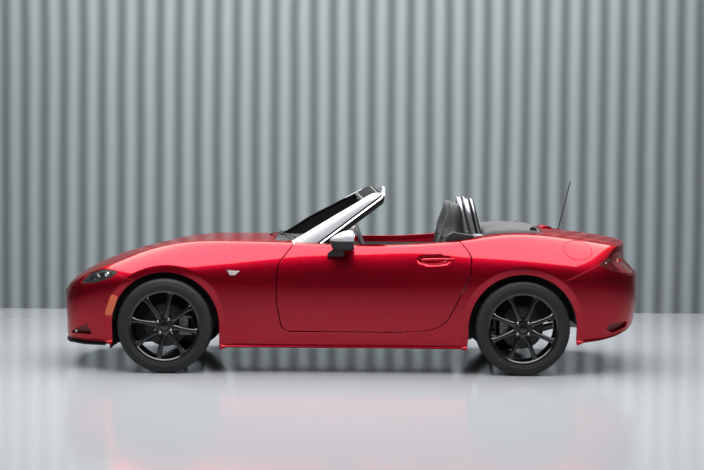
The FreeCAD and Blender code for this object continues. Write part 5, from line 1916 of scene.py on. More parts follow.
    def inner_mirror(self) -> None:
        """Hangs the driver's mirror from the header."""
        x = self.x_at(0, 1.13) + 0.02
        stalk = tube([(x, 0, 1.135), (x + 0.03, 0, 1.128), (x + 0.055, 0, 1.118)], 0.007, 10)
        head = loft([np.column_stack([np.full(len(loop), dx), loop]) for loop, dx in (
            (rounded(((-0.100, 1.072, 0.02), (0.100, 1.072, 0.02), (0.108, 1.128, 0.02), (-0.108, 1.128, 0.02))),
             x + 0.052),
            (rounded(((-0.112, 1.066, 0.024), (0.112, 1.066, 0.024), (0.118, 1.134, 0.024), (-0.118, 1.134, 0.024))),
             x + 0.078))])
        dress((stalk + head).piece("inner_mirror", bevel=0.003), Finishes.PLASTIC, "body")

    def wipers(self) -> None:
        """Lays two wipers at the foot of the glass."""
        for name, y0, y1 in (("left", -0.02, -0.50), ("right", 0.44, -0.02)):
            foot = (self.x_at(y0, 0.862) - 0.048, y0, 0.868)
            tip = (self.x_at(y1, 0.880) - 0.004, y1, 0.884)
            middle = ((foot[0] + tip[0]) / 2 - 0.020, (y0 + y1) / 2, 0.890)
            arm = tube(curve([foot, middle, tip], 16), [0.007 - 0.0035 * k / 15 for k in range(16)], 8, flat=0.7)
            pivot = turned_about([(0.0, -0.02), (0.015, -0.02), (0.016, 0.004), (0.010, 0.010), (0.0, 0.011)], foot,
                                 (-0.3, 0, 1), 24, False)
            reach = np.linspace(-0.23, 0.23, 24)
            centre_y = (y1 + (y0 - y1) * 0.28)
            blade = tube([(self.x_at(centre_y + r, 0.872 + 0.012 * math.cos(r * 6)) - 0.001, centre_y + r,
                           0.872 + 0.012 * math.cos(r * 6)) for r in reach], 0.0055, 8)
            dress((arm + pivot + blade).piece(f"wiper_{name}", sharp=40), Finishes.PLASTIC, "body")


@dataclass
class Cowl:
    """The black panel between bonnet and screen, with its slots."""

    tailor: Tailor

    def build(self) -> None:
        """Makes the panel and its ribs."""
        t = self.tailor
        shape = t.plan(metres(((-497, -60, 0), (-300, -60, 0), (-300, 592, 20), (-497, 592, 10))))
        panel = t.panel("cowl_panel", [shape], [], None, sink=-0.0015, reach=0.004)
        dress(panel, Finishes.PLASTIC, "body")
        skin = t.surface.skin
        ribs = None
        for x in np.arange(-0.485, -0.32, 0.018):
            ys = np.linspace(-0.56, 0.56, 29)
            u = skin.u_at(np.full(29, x))
            pts = t.surface.point(u, skin.s_at_width(u, np.abs(ys)))
            rib = tube([(p[0], y, p[2] + 0.004) for p, y in zip(pts, ys)], 0.003, 6)
            ribs = rib if ribs is None else ribs + rib
        dress(ribs.piece("cowl_ribs", sharp=60), Finishes.PLASTIC, "body")


# ------------------------------------------------------------------ cabin
@dataclass
class Seat:
    """A padded seat: cushion and tall back with its headrest, blown up as cloth over its foam, and its seams.

    Rows of the back: z, half width, x of the front and x of the rear, millimetres, before it is padded.
    """

    middle: float = -0.355
    voxel: float = 0.009
    back_rows: tuple[tuple[float, ...], ...] = (
        (330, 205, 462, 610), (420, 222, 478, 640), (520, 232, 515, 664), (620, 232, 553, 682), (720, 226, 590, 698),
        (800, 208, 614, 710), (850, 178, 626, 716), (890, 138, 634, 722), (940, 120, 640, 725), (1000, 114, 645, 726),
        (1050, 104, 649, 724), (1085, 84, 654, 718), (1108, 52, 664, 708))
    base_rows: tuple[tuple[float, ...], ...] = (
        (-12, 205, 300, 392), (30, 222, 285, 420), (100, 230, 275, 424), (200, 232, 270, 414), (300, 232, 265, 404),
        (400, 232, 260, 396), (470, 226, 260, 392))

    def build(self) -> None:
        """Makes both seats from one padded shape."""
        back = self.pad("seat_back_foam", self.back(), 0.030)
        base = self.pad("seat_base_foam", self.base(), 0.022)
        for side in Side:
            for name, mesh in (("seat_back", back), ("seat_cushion", base)):
                piece = bpy.data.objects.new(f"{name}_{side.name.lower()}", mesh.copy())
                bpy.context.scene.collection.objects.link(piece)
                if side is Side.RIGHT:
                    piece.data.transform(Matrix.Scale(-1, 4, Vector((0, 1, 0))))
                    piece.data.flip_normals()
                nodes = [f"seat_{side.name.lower()}"] if name == "seat_back" else []
                dress(piece, Finishes.LEATHER, "body", nodes)
            self.seams(side)
            self.trim(side)

    def ring(self, half: float, front: float, rear: float, bolster: float) -> np.ndarray:
        """One level of the back: a hollow front between two bolsters, a plain rear."""
        f, r, h = front, rear, half
        corners = [(f + bolster, 0), (f + bolster, -0.45 * h), (f + bolster * 0.5, -0.62 * h), (f, -0.78 * h),
                   (f + 0.006, -0.93 * h), ((f + r) / 2, -h), (r - 0.010, -0.9 * h), (r, -0.6 * h), (r, 0),
                   (r, 0.6 * h), (r - 0.010, 0.9 * h), ((f + r) / 2, h), (f + 0.006, 0.93 * h), (f, 0.78 * h),
                   (f + bolster * 0.5, 0.62 * h), (f + bolster, 0.45 * h)]
        return np.array(corners)

    def back(self) -> Form:
        """The back's foam, ring by ring upwards."""
        rings = []
        for z, half, front, rear in (tuple(v / 1000 for v in row) for row in self.back_rows):
            bolster = 0.030 * float(np.clip((0.86 - z) / 0.12, 0, 1)) * float(np.clip((z - 0.36) / 0.1, 0, 1))
            flat = self.ring(half, front, rear, bolster)
            rings.append(np.column_stack([flat[:, 0], flat[:, 1] + self.middle, np.full(len(flat), z)]))
        return loft(rings)

    def base(self) -> Form:
        """The cushion's foam, ring by ring rearwards."""
        rings = []
        for x, half, low, high in (tuple(v / 1000 for v in row) for row in self.base_rows):
            flat = self.ring(half, -high, -low, 0.024 * float(np.clip((x + 0.0) / 0.1, 0, 1)))
            rings.append(np.column_stack([np.full(len(flat), x), flat[:, 1] + self.middle, -flat[:, 0]]))
        return loft(rings)

    def pad(self, name: str, form: Form, cap: float) -> bpy.types.Mesh:
        """Turns foam into padded cover: remeshed, blown up as cloth, its travel capped.

        Args:
            name: A name for the working object.
            form: The foam, a little smaller than the finished pad.
            cap: The furthest that any point may move.

        Returns:
            The padded mesh.
        """
        foam = form.piece(name)
        subdivide(foam, 1)
        remesh = foam.modifiers.new("even", "REMESH")
        remesh.mode = "VOXEL"
        remesh.voxel_size = self.voxel * 1.0
        smooth = foam.modifiers.new("ease", "SMOOTH")
        smooth.factor, smooth.iterations = 0.5, 2
        start = bpy.data.meshes.new_from_object(foam.evaluated_get(bpy.context.evaluated_depsgraph_get()))
        foam.modifiers.clear()
        foam.data = start
        before = np.empty(len(start.vertices) * 3)
        start.vertices.foreach_get("co", before)
        before = before.reshape(-1, 3)
        after = before
        cloth = foam.modifiers.new("cover", "CLOTH")
        cloth.settings.quality = 4
        cloth.settings.mass = 0.4
        cloth.settings.tension_stiffness = cloth.settings.compression_stiffness = 12
        cloth.settings.bending_stiffness = 2
        cloth.settings.use_pressure = True
        cloth.settings.uniform_pressure_force = 4.0
        cloth.settings.effector_weights.gravity = 0.0
        cloth.point_cache.frame_start, cloth.point_cache.frame_end = 1, 12
        for shot in range(1, 13):
            bpy.context.scene.frame_set(shot)
        settled = bpy.data.meshes.new_from_object(foam.evaluated_get(bpy.context.evaluated_depsgraph_get()))
        after = np.empty(len(settled.vertices) * 3)
        settled.vertices.foreach_get("co", after)
        after = after.reshape(-1, 3)
        foam.modifiers.clear()
        bpy.context.scene.frame_set(1)
        normals = np.empty(len(start.vertices) * 3)
        start.vertices.foreach_get("normal", normals)
        normals = normals.reshape(-1, 3)
        swell = np.clip(np.sum((after - before) * normals, axis=1), 0.0, cap)
        start.vertices.foreach_set("co", (before + normals * swell[:, None]).ravel())
        start.update()
        start.polygons.foreach_set("use_smooth", [True] * len(start.polygons))
        bpy.data.objects.remove(foam)
        return start

    def seams(self, side: Side) -> None:
        """Lays the sewn piping: round the front panel, and where the headrest starts."""
        back = bpy.data.objects[f"seat_back_{side.name.lower()}"]
        cushion = bpy.data.objects[f"seat_cushion_{side.name.lower()}"]
        sign = 1 if side is Side.LEFT else -1
        whole = None
        for share in (-0.56, 0.56):
            line = []
            for z, half, front, _ in (tuple(v / 1000 for v in row) for row in self.back_rows[1:8]):
                line.append(self.drop(back, (front - 0.3, sign * (self.middle + share * half), z), (1, 0, 0)))
            seam = tube(curve([p for p in line if p is not None], 30), 0.0035, 8)
            whole = seam if whole is None else whole + seam
            line = []
            for x, half, _, high in (tuple(v / 1000 for v in row) for row in self.base_rows[1:]):
                line.append(self.drop(cushion, (x, sign * (self.middle + share * half), high + 0.3), (0, 0, -1)))
            whole = whole + tube(curve([p for p in line if p is not None], 24), 0.0035, 8)
        line = [self.drop(back, (0.3, sign * (self.middle + y), 0.872), (1, 0, 0)) for y in np.linspace(-0.12, 0.12, 9)]
        whole = whole + tube(curve([p for p in line if p is not None], 24), 0.0035, 8)
        dress(whole.piece(f"seat_seams_{side.name.lower()}", sharp=60), Finishes.RUBBER, "body")

    @staticmethod
    def drop(piece: bpy.types.Object, start: Triple, way: Triple) -> tuple[float, ...] | None:
        """Finds where a ray from outside first meets a piece."""
        hit, place, _, _ = piece.ray_cast(Vector(start), Vector(way))
        return tuple(place) if hit else None

    def trim(self, side: Side) -> None:
        """Makes the hard shell below the cushion, and its rails."""
        y0, y1 = self.middle - 0.235, self.middle + 0.235
        shell = side_plate(metres(((-20, 252, 20), (-20, 312, 30), (470, 292, 30), (600, 300, 20), (600, 252, 20))), y0,
                           y1)
        rails = cuboid((-0.03, y0 + 0.03, 0.236), (0.60, y0 + 0.075, 0.256)) + cuboid((-0.03, y1 - 0.075, 0.236),
                                                                                (0.60, y1 - 0.03, 0.256))
        dress((shell + rails).on(side).piece(f"seat_shell_{side.name.lower()}", bevel=0.006, steps=3), Finishes.PLASTIC,
              "body")
        guide = side_plate(metres(((604, 846, 6), (620, 892, 12), (662, 921, 16), (700, 912, 14), (798, 898, 6),
                                   (798, 846, 4))),
                           -0.690, -0.600)
        dress(guide.on(side).piece(f"belt_guide_{side.name.lower()}", bevel=0.006, steps=3), Finishes.PLASTIC, "body")


@dataclass
class Cabin:
    """Dashboard, dials, console, carpet and the inner tub."""

    dash: tuple[Triple, ...] = metres(((-262, 545, 0), (-262, 832, 0), (-168, 846, 50), (-92, 818, 40), (-72, 790, 30),
                                       (-88, 740, 20), (-60, 700, 20), (-96, 620, 40), (-150, 545, 20)))
    hood: tuple[Triple, ...] = metres(((-230, 790, 0), (-215, 846, 40), (-96, 880, 34), (-34, 862, 16), (-60, 800, 10)))

    def build(self) -> None:
        """Makes the cabin's hard pieces."""
        dash = side_plate(self.dash, -0.636, 0.636).piece("dash_body", bevel=0.012, steps=4)
        dress(dash, Finishes.TRIM, "body", ["dashboard"])
        hood = side_plate(self.hood, -0.478, -0.242).piece("dial_hood", bevel=0.016, steps=4)
        dress(hood, Finishes.TRIM, "body")
        column = tube([(0.070, -0.36, 0.778), (-0.10, -0.36, 0.716)], 0.034, 20)
        dress(column.piece("steering_column", bevel=0.004), Finishes.PLASTIC, "body")
        dials, faces = None, None
        for y, r in ((-0.432, 0.034), (-0.360, 0.046), (-0.288, 0.034)):
            ring = turned_about([(r * 0.86, 0.0), (r * 0.9, 0.006), (r, 0.006), (r, -0.012), (r * 0.86, -0.012)],
                                (-0.052, y, 0.836), (0.96, 0, 0.28), 40)
            face = turned_about([(0.0, -0.002), (r * 0.88, -0.002), (r * 0.88, -0.010), (0.0, -0.010)],
                                (-0.052, y, 0.836), (0.96, 0, 0.28), 40, False)
            dials = ring if dials is None else dials + ring
            faces = face if faces is None else faces + face
        dress(dials.piece("dial_rings", sharp=35), Finishes.CHROME, "body")
        dress(faces.piece("dial_faces", sharp=35), Finishes.BLACK_GLOSS, "body")
        vents, mouths = None, None
        for y in (-0.58, -0.16, 0.0, 0.58):
            ring = turned_about([(0.036, 0.0), (0.038, 0.006), (0.044, 0.004), (0.044, -0.02), (0.036, -0.02)],
                                (-0.068, y, 0.770), (1, 0, 0.1), 40)
            disc = turned_about([(0.0, 0.0), (0.037, -0.006), (0.037, -0.014), (0.0, -0.014)], (-0.068, y, 0.770),
                                (1, 0, 0.1), 40, False)
            vents = ring if vents is None else vents + ring
            mouths = disc if mouths is None else mouths + disc
        dress(vents.piece("vent_rings", sharp=35), Finishes.SILVER, "body")
        dress(mouths.piece("vent_mouths", sharp=35), Finishes.PLASTIC, "body")
        screen = front_plate(((-0.10, 0.848, 0.006), (0.10, 0.848, 0.006), (0.095, 0.940, 0.006), (-0.095, 0.940,
                                                                                                   0.006)),
                             -0.130, -0.116)
        dress(screen.piece("dash_screen", bevel=0.002), Finishes.BLACK_GLOSS, "body")
        self.console()
        self.tub()

    def console(self) -> None:
        """Makes the tunnel's top with its lever, knob and brake lever."""
        rows = ((-0.235, 0.548), (-0.06, 0.528), (0.08, 0.480), (0.30, 0.500), (0.56, 0.512), (0.755, 0.512))
        rings = []
        for x, top in rows:
            ring = rounded(((-0.108, 0.24, 0), (-0.108, top - 0.02, 0), (-0.085, top, 0.012), (0.085, top, 0.012),
                            (0.108, top - 0.02, 0), (0.108, 0.24, 0)), 0.5)
            rings.append(np.column_stack([np.full(len(ring), x), ring]))
        dress(loft(rings).piece("console", bevel=0.004), Finishes.TRIM, "body")
        boot = turned_about([(0.0, 0.085), (0.012, 0.084), (0.018, 0.060), (0.040, 0.025), (0.058, 0.004), (0.060, 0.0),
                             (0.0, 0.0)], (0.13, 0.0, 0.482), (0, 0, 1), 24, False)
        dress(boot.piece("gear_boot", sharp=70), Finishes.LEATHER, "body")
        knob = turned_about([(0.0, 0.150), (0.014, 0.149), (0.023, 0.140), (0.025, 0.128), (0.020, 0.112),
                             (0.010, 0.100),
                             (0.008, 0.060), (0.0, 0.060)], (0.13, 0.0, 0.482), (0.0, 0, 1), 28, False)
        dress(knob.piece("gear_knob", sharp=50), Finishes.BLACK_GLOSS, "body")
        lever = tube(curve([(0.40, -0.065, 0.505), (0.34, -0.065, 0.530), (0.24, -0.065, 0.560)], 14),
                     [0.012] * 6 + [0.015] * 8, 14)
        dress(lever.piece("brake_lever", bevel=0.002), Finishes.LEATHER, "body")

    def tub(self) -> None:
        """Dresses the floor with a carpet, and hides the plain tub behind trimmed walls."""
        carpet = cuboid((-0.585, -0.598, 0.226), (0.755, -0.112, 0.238))
        whole = carpet + carpet.mirrored()
        dress(whole.piece("carpet", bevel=0.004), Finishes.CARPET, "body", ["cabin_tub"])
        wall = front_plate(metres(((-598, 228, 20), (-598, 862, 40), (598, 862, 40), (598, 228, 20))), 0.762, 0.796)
        dress(wall.piece("rear_bulkhead", bevel=0.006, steps=3), Finishes.CARPET, "body")
        fire_wall = front_plate(metres(((-598, 228, 20), (-598, 760, 20), (598, 760, 20), (598, 228, 20))), -0.590,
                                -0.580)
        dress(fire_wall.piece("front_bulkhead", bevel=0.003), Finishes.CARPET, "body")
        pedals = None
        for y in (-0.27, -0.36, -0.46):
            pad = cuboid((-0.470, y - 0.026, 0.330), (-0.455, y + 0.026, 0.400)).turned(-18, (0, 1, 0),
                                                                                        (-0.46, y, 0.36))
            arm = tube([(-0.470, y, 0.385), (-0.500, y, 0.470), (-0.540, y, 0.560)], 0.007, 8)
            pedals = pad + arm if pedals is None else pedals + pad + arm
        dress(pedals.piece("pedals", bevel=0.003), Finishes.PLASTIC, "body")


@dataclass
class SteeringWheel:
    """A dark trimmed rim on three spokes with a padded blank hub."""

    centre: Triple = (0.088, -0.360, 0.785)
    axis: Triple = (0.9397, 0.0, 0.342)
    reach: float = 0.172

    def build(self) -> None:
        """Makes the rim, the spokes and the hub."""
        lean = math.degrees(math.atan2(self.axis[2], self.axis[0]))

        def placed(form: Form) -> Form:
            """Tilts a form drawn square to the car onto the wheel's axis."""
            return form.turned(-lean, (0, 1, 0), (0, 0, 0)).moved(self.centre)

        turn = np.linspace(0, 2 * math.pi, 96, endpoint=False)
        rim = tube([(0.0, self.reach * math.sin(a), self.reach * math.cos(a)) for a in turn],
                   [0.0140 + 0.0016 * math.exp(-((abs(abs(math.degrees(a) - 180) - 110) / 14) ** 2)) for a in turn], 16,
                   True)
        dress(placed(rim).piece("wheel_rim", sharp=60), Finishes.TRIM, "steering_wheel", ["steering_wheel"])
        spokes, bright = None, None
        for side in (-1, 1):
            arm = tube(curve([(-0.012, side * 0.030, -0.004), (-0.010, side * 0.09, 0.006), (-0.002, side * 0.166,
                                                                                             0.014)], 12),
                       [0.017 - 0.0006 * k for k in range(12)], 10, flat=0.9)
            strip = tube(curve([(0.004, side * 0.060, 0.004), (0.005, side * 0.10, 0.008), (0.006, side * 0.150,
                                                                                            0.013)], 10),
                         0.0055, 8)
            spokes = arm if spokes is None else spokes + arm
            bright = strip if bright is None else bright + strip
        low = tube(curve([(-0.012, 0, -0.03), (-0.008, 0, -0.10), (-0.002, 0, -0.166)], 12), 0.012, 10)
        dress(placed(spokes + low).piece("wheel_spokes", sharp=50), Finishes.PLASTIC, "steering_wheel")
        dress(placed(bright).piece("wheel_bright_strips", sharp=50), Finishes.SILVER, "steering_wheel")
        hub = front_plate(((-0.055, -0.050, 0.03), (0.055, -0.050, 0.03), (0.062, 0.040, 0.03), (-0.062, 0.040, 0.03)),
                          -0.030, 0.014)
        dress(placed(hub).piece("wheel_hub", bevel=0.010, steps=4), Finishes.TRIM, "steering_wheel")


@dataclass
class DoorCard:
    """A door's inner side: painted top, trimmed panel, armrest, pull and speaker."""

    tailor: Tailor
    side: Side
    outline: tuple[Triple, ...] = metres(((-440, 276, 60), (-482, 480, 500), (-474, 700, 130), (-325, 900, 0),
                                          (650, 920, 0), (776, 770, 105), (764, 640, 220), (592, 292, 200),
                                          (300, 276, 300)))

    def build(self) -> None:
        """Makes the card in two bands, and its fittings."""
        tag, body = self.side.name.lower(), f"door_{self.side.name.lower()}"
        inner, outer = self.loop(0.024), self.loop(0.012)
        low = self.band(inner, outer, 0.0, 0.792)
        dress(low.on(self.side).piece(f"door_card_{tag}", bevel=0.002), Finishes.TRIM, body)
        top = self.band(inner, outer, 0.792, 2.0)
        dress(top.on(self.side).piece(f"door_top_{tag}", bevel=0.003), Finishes.PAINT, body)
        rest = side_plate(metres(((-60, 640, 20), (-40, 690, 20), (300, 664, 20), (420, 640, 16), (420, 610, 16),
                                  (0, 600, 20))),
                          -0.704, -0.655)
        dress(rest.on(self.side).piece(f"armrest_{tag}", bevel=0.012, steps=4), Finishes.LEATHER, body)
        pull = tube(curve([(-0.20, -0.700, 0.700), (-0.185, -0.668, 0.712), (-0.09, -0.668, 0.716), (-0.07, -0.700,
                                                                                                     0.708)], 18),
                    0.008, 10)
        dress(pull.on(self.side).piece(f"door_pull_{tag}", sharp=60), Finishes.SILVER, body)
        ring = turned_about([(0.0, -0.004), (0.070, -0.004), (0.072, -0.008), (0.080, -0.006), (0.080, 0.004),
                             (0.0, 0.004)],
                            (-0.24, -0.700, 0.430), (0, -1, 0), 48, False)
        dress(ring.on(self.side).piece(f"speaker_{tag}", sharp=35), Finishes.PLASTIC, body)

    def loop(self, inset: float) -> np.ndarray:
        """The door's outline moved inwards."""
        return grown(rounded(self.outline, 0.03), -inset)

    def band(self, inner: np.ndarray, outer: np.ndarray, low: float, high: float) -> Form:
        """The card between two heights, from the inner face outwards.

        Args:
            inner: The loop at the inner face.
            outer: The loop near the skin.
            low: Lower height limit.
            high: Upper height limit.

        Returns:
            The band.
        """
        skin = self.tailor.surface.skin
        rings = []
        for loop, y in ((inner, 0.702), (outer, 0.772)):
            u = skin.u_at(loop[:, 0])
            top = skin.plain(u, skin.s_at_width(u, np.full(len(u), y)))[:, 2] - 0.004
            z = np.clip(np.minimum(loop[:, 1], top), low, high)
            rings.append(np.column_stack([loop[:, 0], np.full(len(loop), -y), z]))
        return loft(rings)


# ------------------------------------------------------------------ behind the seats
@dataclass
class RollHoops:
    """Two padded-looking bright hoops with black backs and mesh, on a cross bar."""

    middle: float = 0.360
    half: float = 0.119
    top: float = 1.114
    turn: float = 0.099

    def path(self) -> np.ndarray:
        """The middle line of the left hoop, from one foot to the other, in y and z."""
        corners = ((-self.middle - self.half, 0.715, 0), (-self.middle - self.half, self.top, self.turn),
                   (-self.middle + self.half, self.top, self.turn), (-self.middle + self.half, 0.715, 0))
        loop = rounded(corners, 0.03)
        last = int(np.argmin(np.hypot(loop[:, 0] + self.middle - self.half, loop[:, 1] - 0.715)))
        return loop[: last + 1]

    def lean(self, z: float) -> float:
        """The x of the hoop's middle at a height."""
        return 0.835 - 0.063 * (max(z, 0.868) - 0.868) / 0.257

    def swept(self, section: Sequence[Pair]) -> Form:
        """Sweeps a section of (outwards, rearwards) corners along the hoop."""
        line = self.path()
        way = np.gradient(line, axis=0)
        way /= np.linalg.norm(way, axis=1)[:, None]
        out = np.column_stack([-way[:, 1], way[:, 0]])
        rings = []
        for (y, z), (oy, oz) in zip(line, out):
            rings.append(np.array([(self.lean(z) + b, y + oy * a, z + oz * a) for a, b in section]))
        return loft(rings)

    def build(self) -> None:
        """Makes both hoops and the bar."""
        front = [(-0.012, -0.035), (0.010, -0.035), (0.018, -0.029), (0.0205, -0.020), (0.0205, -0.006),
                 (0.017, -0.003),
                 (-0.017, -0.003), (-0.0205, -0.008), (-0.0205, -0.024), (-0.018, -0.031)]
        groove = [(0.0135, -0.004), (0.0135, 0.013), (-0.0135, 0.013), (-0.0135, -0.004)]
        rear = [(0.018, 0.012), (0.0205, 0.015), (0.0205, 0.023), (0.018, 0.026), (-0.018, 0.026), (-0.0205, 0.023),
                (-0.0205, 0.015), (-0.018, 0.012)]
        edge = [(0.017, 0.025), (0.017, 0.031), (0.012, 0.035), (-0.012, 0.035), (-0.017, 0.031), (-0.017, 0.025)]
        for side in Side:
            tag = side.name.lower()
            bright = self.swept(front) + self.swept(rear)
            dress(bright.on(side).piece(f"hoop_{tag}", sharp=50), Finishes.SATIN, "body",
                  ["roll_hoops"] if side is Side.LEFT else [])
            dark = self.swept(groove) + self.swept(edge)
            dress(dark.on(side).piece(f"hoop_back_{tag}", sharp=40), Finishes.RUBBER, "body")
            net = self.net()
            dress(net.on(side).piece(f"hoop_net_{tag}", sharp=60), Finishes.PLASTIC, "body")
            foot = cuboid((0.797, -0.598, 0.850), (0.868, -0.420, 0.902))
            dress(foot.on(side).piece(f"hoop_cover_{tag}", bevel=0.014, steps=4), Finishes.GREY_PLASTIC, "body")
        bar = tube([(0.835, y, 0.732) for y in (-0.56, 0.56)], 0.019, 20)
        dress(bar.piece("hoop_bar", bevel=0.002), Finishes.SATIN, "body")

    def net(self) -> Form:
        """The crossed wires that fill the hoop."""
        whole = None
        for k in range(-5, 6):
            y = -self.middle + k * 0.019
            wire = tube([(self.lean(z) + 0.004, y, z) for z in (0.72, 0.90, 1.105 - 0.004 * abs(k))], 0.0022, 6,
                        up=(1, 0, 0))
            whole = wire if whole is None else whole + wire
        for z in np.arange(0.74, 1.10, 0.019):
            whole = whole + tube([(self.lean(z) + 0.004, -self.middle - 0.108, z), (self.lean(z) + 0.004,
                                                                                    -self.middle + 0.108, z)],
                                 0.0022, 6)
        return whole


@dataclass
class FoldedRoof:
    """The cloth roof folded into its well: crowned top, soft sides, a fold along each edge."""

    rows: tuple[tuple[float, ...], ...] = (
        (872, 930, 618), (880, 950, 628), (900, 961, 632), (960, 968, 634), (1020, 970, 634), (1080, 970, 630),
        (1140, 968, 624), (1200, 963, 610), (1232, 956, 594), (1252, 943, 570), (1262, 922, 550))

    def section(self, x: float, top: float, half: float) -> np.ndarray:
        """One cross-section, from the left foot over the top to the right foot."""
        drop = top - 0.86
        shape = ((1.0, 0.0), (1.004, 0.25), (0.995, 0.48), (0.965, 0.64), (0.935, 0.70), (0.915, 0.695), (0.895, 0.735),
                 (0.84, 0.775), (0.70, 0.835), (0.50, 0.900), (0.25, 0.965), (0.0, 1.0))
        left = [(x, -half * a, 0.86 + drop * b) for a, b in shape]
        return np.array(left + [(x, -y, z) for _, y, z in left[-2::-1]])

    def build(self) -> None:
        """Makes the cloth and the rubber end of the fold on each side."""
        rings = [self.section(*(v / 1000 for v in row)) for row in self.rows]
        rings = [rings[0] * [1, 0.97, 1] + [0.004, 0, -0.03]] + rings + [rings[-1] * [1, 0.97, 1] + [0.004, 0, -0.03]]
        roof = loft(rings).piece("roof_cloth", soft=2, sharp=80)
        dress(roof, Finishes.ROOF_CLOTH, "body", ["folded_roof"])
        for side in Side:
            at = (1.198, -0.572, 0.930)
            end = turned_about([(0.0, 0.004), (0.016, 0.003), (0.024, 0.0), (0.026, -0.010), (0.0, -0.010)], at,
                               (0.35, -0.85, 0.25), 32, False)
            dress(end.on(side).piece(f"roof_fold_end_{side.name.lower()}", sharp=40), Finishes.RUBBER, "body")


@dataclass
class RearTrim:
    """Pieces of the tail: rear shelf, third brake lamp, blank plate carrier, exhaust tips, bumper corner recesses."""

    tailor: Tailor
    corner: tuple[Triple, ...] = metres(((1652, 300, 8), (1688, 338, 16), (1816, 344, 6), (1808, 306, 20),
                                         (1708, 272, 30)))
    tunnel: tuple[Triple, ...] = metres(((0, 330, 0), (400, 330, 30), (470, 292, 20), (470, 262, 0), (0, 262, 0)))

    def build(self) -> None:
        """Makes the trim."""
        diffuser = self.tailor.panel("diffuser", [self.tailor.back(self.tunnel, 0.004)], [], None, Edge.OPEN,
                                     sink=0.045)
        dress(diffuser, Finishes.PLASTIC, "body")
        shelf = front_plate(metres(((-596, 752, 0), (-596, 866, 30), (-300, 890, 300), (0, 900, 0), (300, 890, 300),
                                    (596, 866, 30), (596, 752, 0))), 0.798, 0.878)
        dress(shelf.piece("shelf_cover", bevel=0.006, steps=3), Finishes.TRIM, "body", ["rear_shelf"])
        rings = []
        for x, half, low, high in ((1.272, 0.100, 0.925, 0.934), (1.282, 0.118, 0.925, 0.944), (1.305, 0.124, 0.922,
                                                                                                0.947),
                                   (1.335, 0.122, 0.918, 0.944), (1.356, 0.112, 0.916, 0.936)):
            loop = rounded(((-half, low, 0.004), (-half, high, 0.008), (half, high, 0.008), (half, low, 0.004)), 0.03)
            rings.append(np.column_stack([np.full(len(loop), x + 0.016), loop]))
        hump = loft(rings).piece("brake_lamp_hump", sharp=50)
        dress(hump, Finishes.PAINT, "boot_lid")
        lamp = front_plate(metres(((-92, 921, 4), (-92, 933, 4), (92, 933, 4), (92, 921, 4))), 1.371, 1.3755)
        dress(lamp.piece("third_brake_lamp", bevel=0.001), Finishes.LENS_RED, "boot_lid")
        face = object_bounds()[1][0]
        carrier = front_plate(((-0.155, 0.432, 0.010), (0.155, 0.432, 0.010), (0.155, 0.568, 0.010), (-0.155, 0.568,
                                                                                                      0.010)),
                              face - 0.030, face)
        dress(carrier.piece("rear_plate_carrier", bevel=0.0025), Finishes.PLASTIC, "body")
        tips, bores = None, None
        for y in (-0.330, -0.420):
            tip = turned_about([(0.031, -0.085), (0.031, 0.0), (0.0335, 0.003), (0.0365, 0.002), (0.038, -0.004),
                                (0.038, -0.085)], (1.868, -y, 0.268), (1, 0, 0), 48)
            bore = turned_about([(0.0, -0.08), (0.0305, -0.08), (0.0305, -0.078), (0.0, -0.078)], (1.868, -y, 0.268),
                                (1, 0, 0),
                                32, False)
            tips = tip if tips is None else tips + tip
            bores = bore if bores is None else bores + bore
        dress(tips.piece("exhaust_tips", sharp=35), Finishes.CHROME, "body")
        dress(bores.piece("exhaust_bores", sharp=35), Finishes.RUBBER, "body")
        for side in Side:
            tag = side.name.lower()
            bowl = self.tailor.panel(f"rear_corner_bowl_{tag}", [self.tailor.side(self.corner, 0.003)], [], side,
                                     Edge.OPEN,
                                     sink=0.022)
            # The corner recess is painted in a darker red as painted shade.
            dress(bowl, Finishes.PAINT_SHADED, "body")


@dataclass
class WheelLiners:
    """The black wall and the deflector that close each front wheel opening from inside."""

    def build(self) -> None:
        """Makes the liners on both sides."""
        for side in Side:
            wall = side_plate(metres(((-1610, 150, 10), (-1610, 460, 10), (-1500, 560, 60), (-1395, 560, 10),
                                      (-1300, 330, 40),
                                      (-1290, 160, 10))), -0.412, -0.400)
            rear = side_plate(metres(((-1110, 160, 10), (-1100, 400, 40), (-930, 400, 10), (-930, 180, 10))), -0.412,
                              -0.400)
            wall = wall + rear
            front = front_plate(metres(((-738, 147, 10), (-738, 385, 10), (-410, 385, 10), (-410, 147, 10))), -1.566,
                                -1.560)
            dress((wall + front).on(side).piece(f"wheel_liner_{side.name.lower()}", bevel=0.002), Finishes.UNDER,
                  "body")


@dataclass
class DoorHandle:
    """The pull bar that crosses a door's handle cup."""

    tailor: Tailor
    side: Side

    def build(self) -> None:
        """Makes the bar."""
        skin = self.tailor.surface.skin
        line = []
        for x, z, out in ((0.455, 0.743, -0.004), (0.500, 0.746, 0.008), (0.560, 0.748, 0.013), (0.620, 0.749, 0.011),
                          (0.652, 0.749, 0.005), (0.664, 0.749, -0.003)):
            u = skin.u_at(np.array([x]))
            point = skin.plain(u, skin.s_at_height(u, np.array([z])))[0]
            line.append((point[0], point[1] - out, point[2]))
        bar = tube(curve(line, 24), [0.006 + 0.005 * math.sin(math.pi * min(1.0, (k + 4) / 24)) for k in range(24)], 14,
                   flat=0.9)
        dress(bar.on(self.side).piece(f"door_handle_{self.side.name.lower()}", sharp=60), Finishes.PAINT,
              f"door_{self.side.name.lower()}")


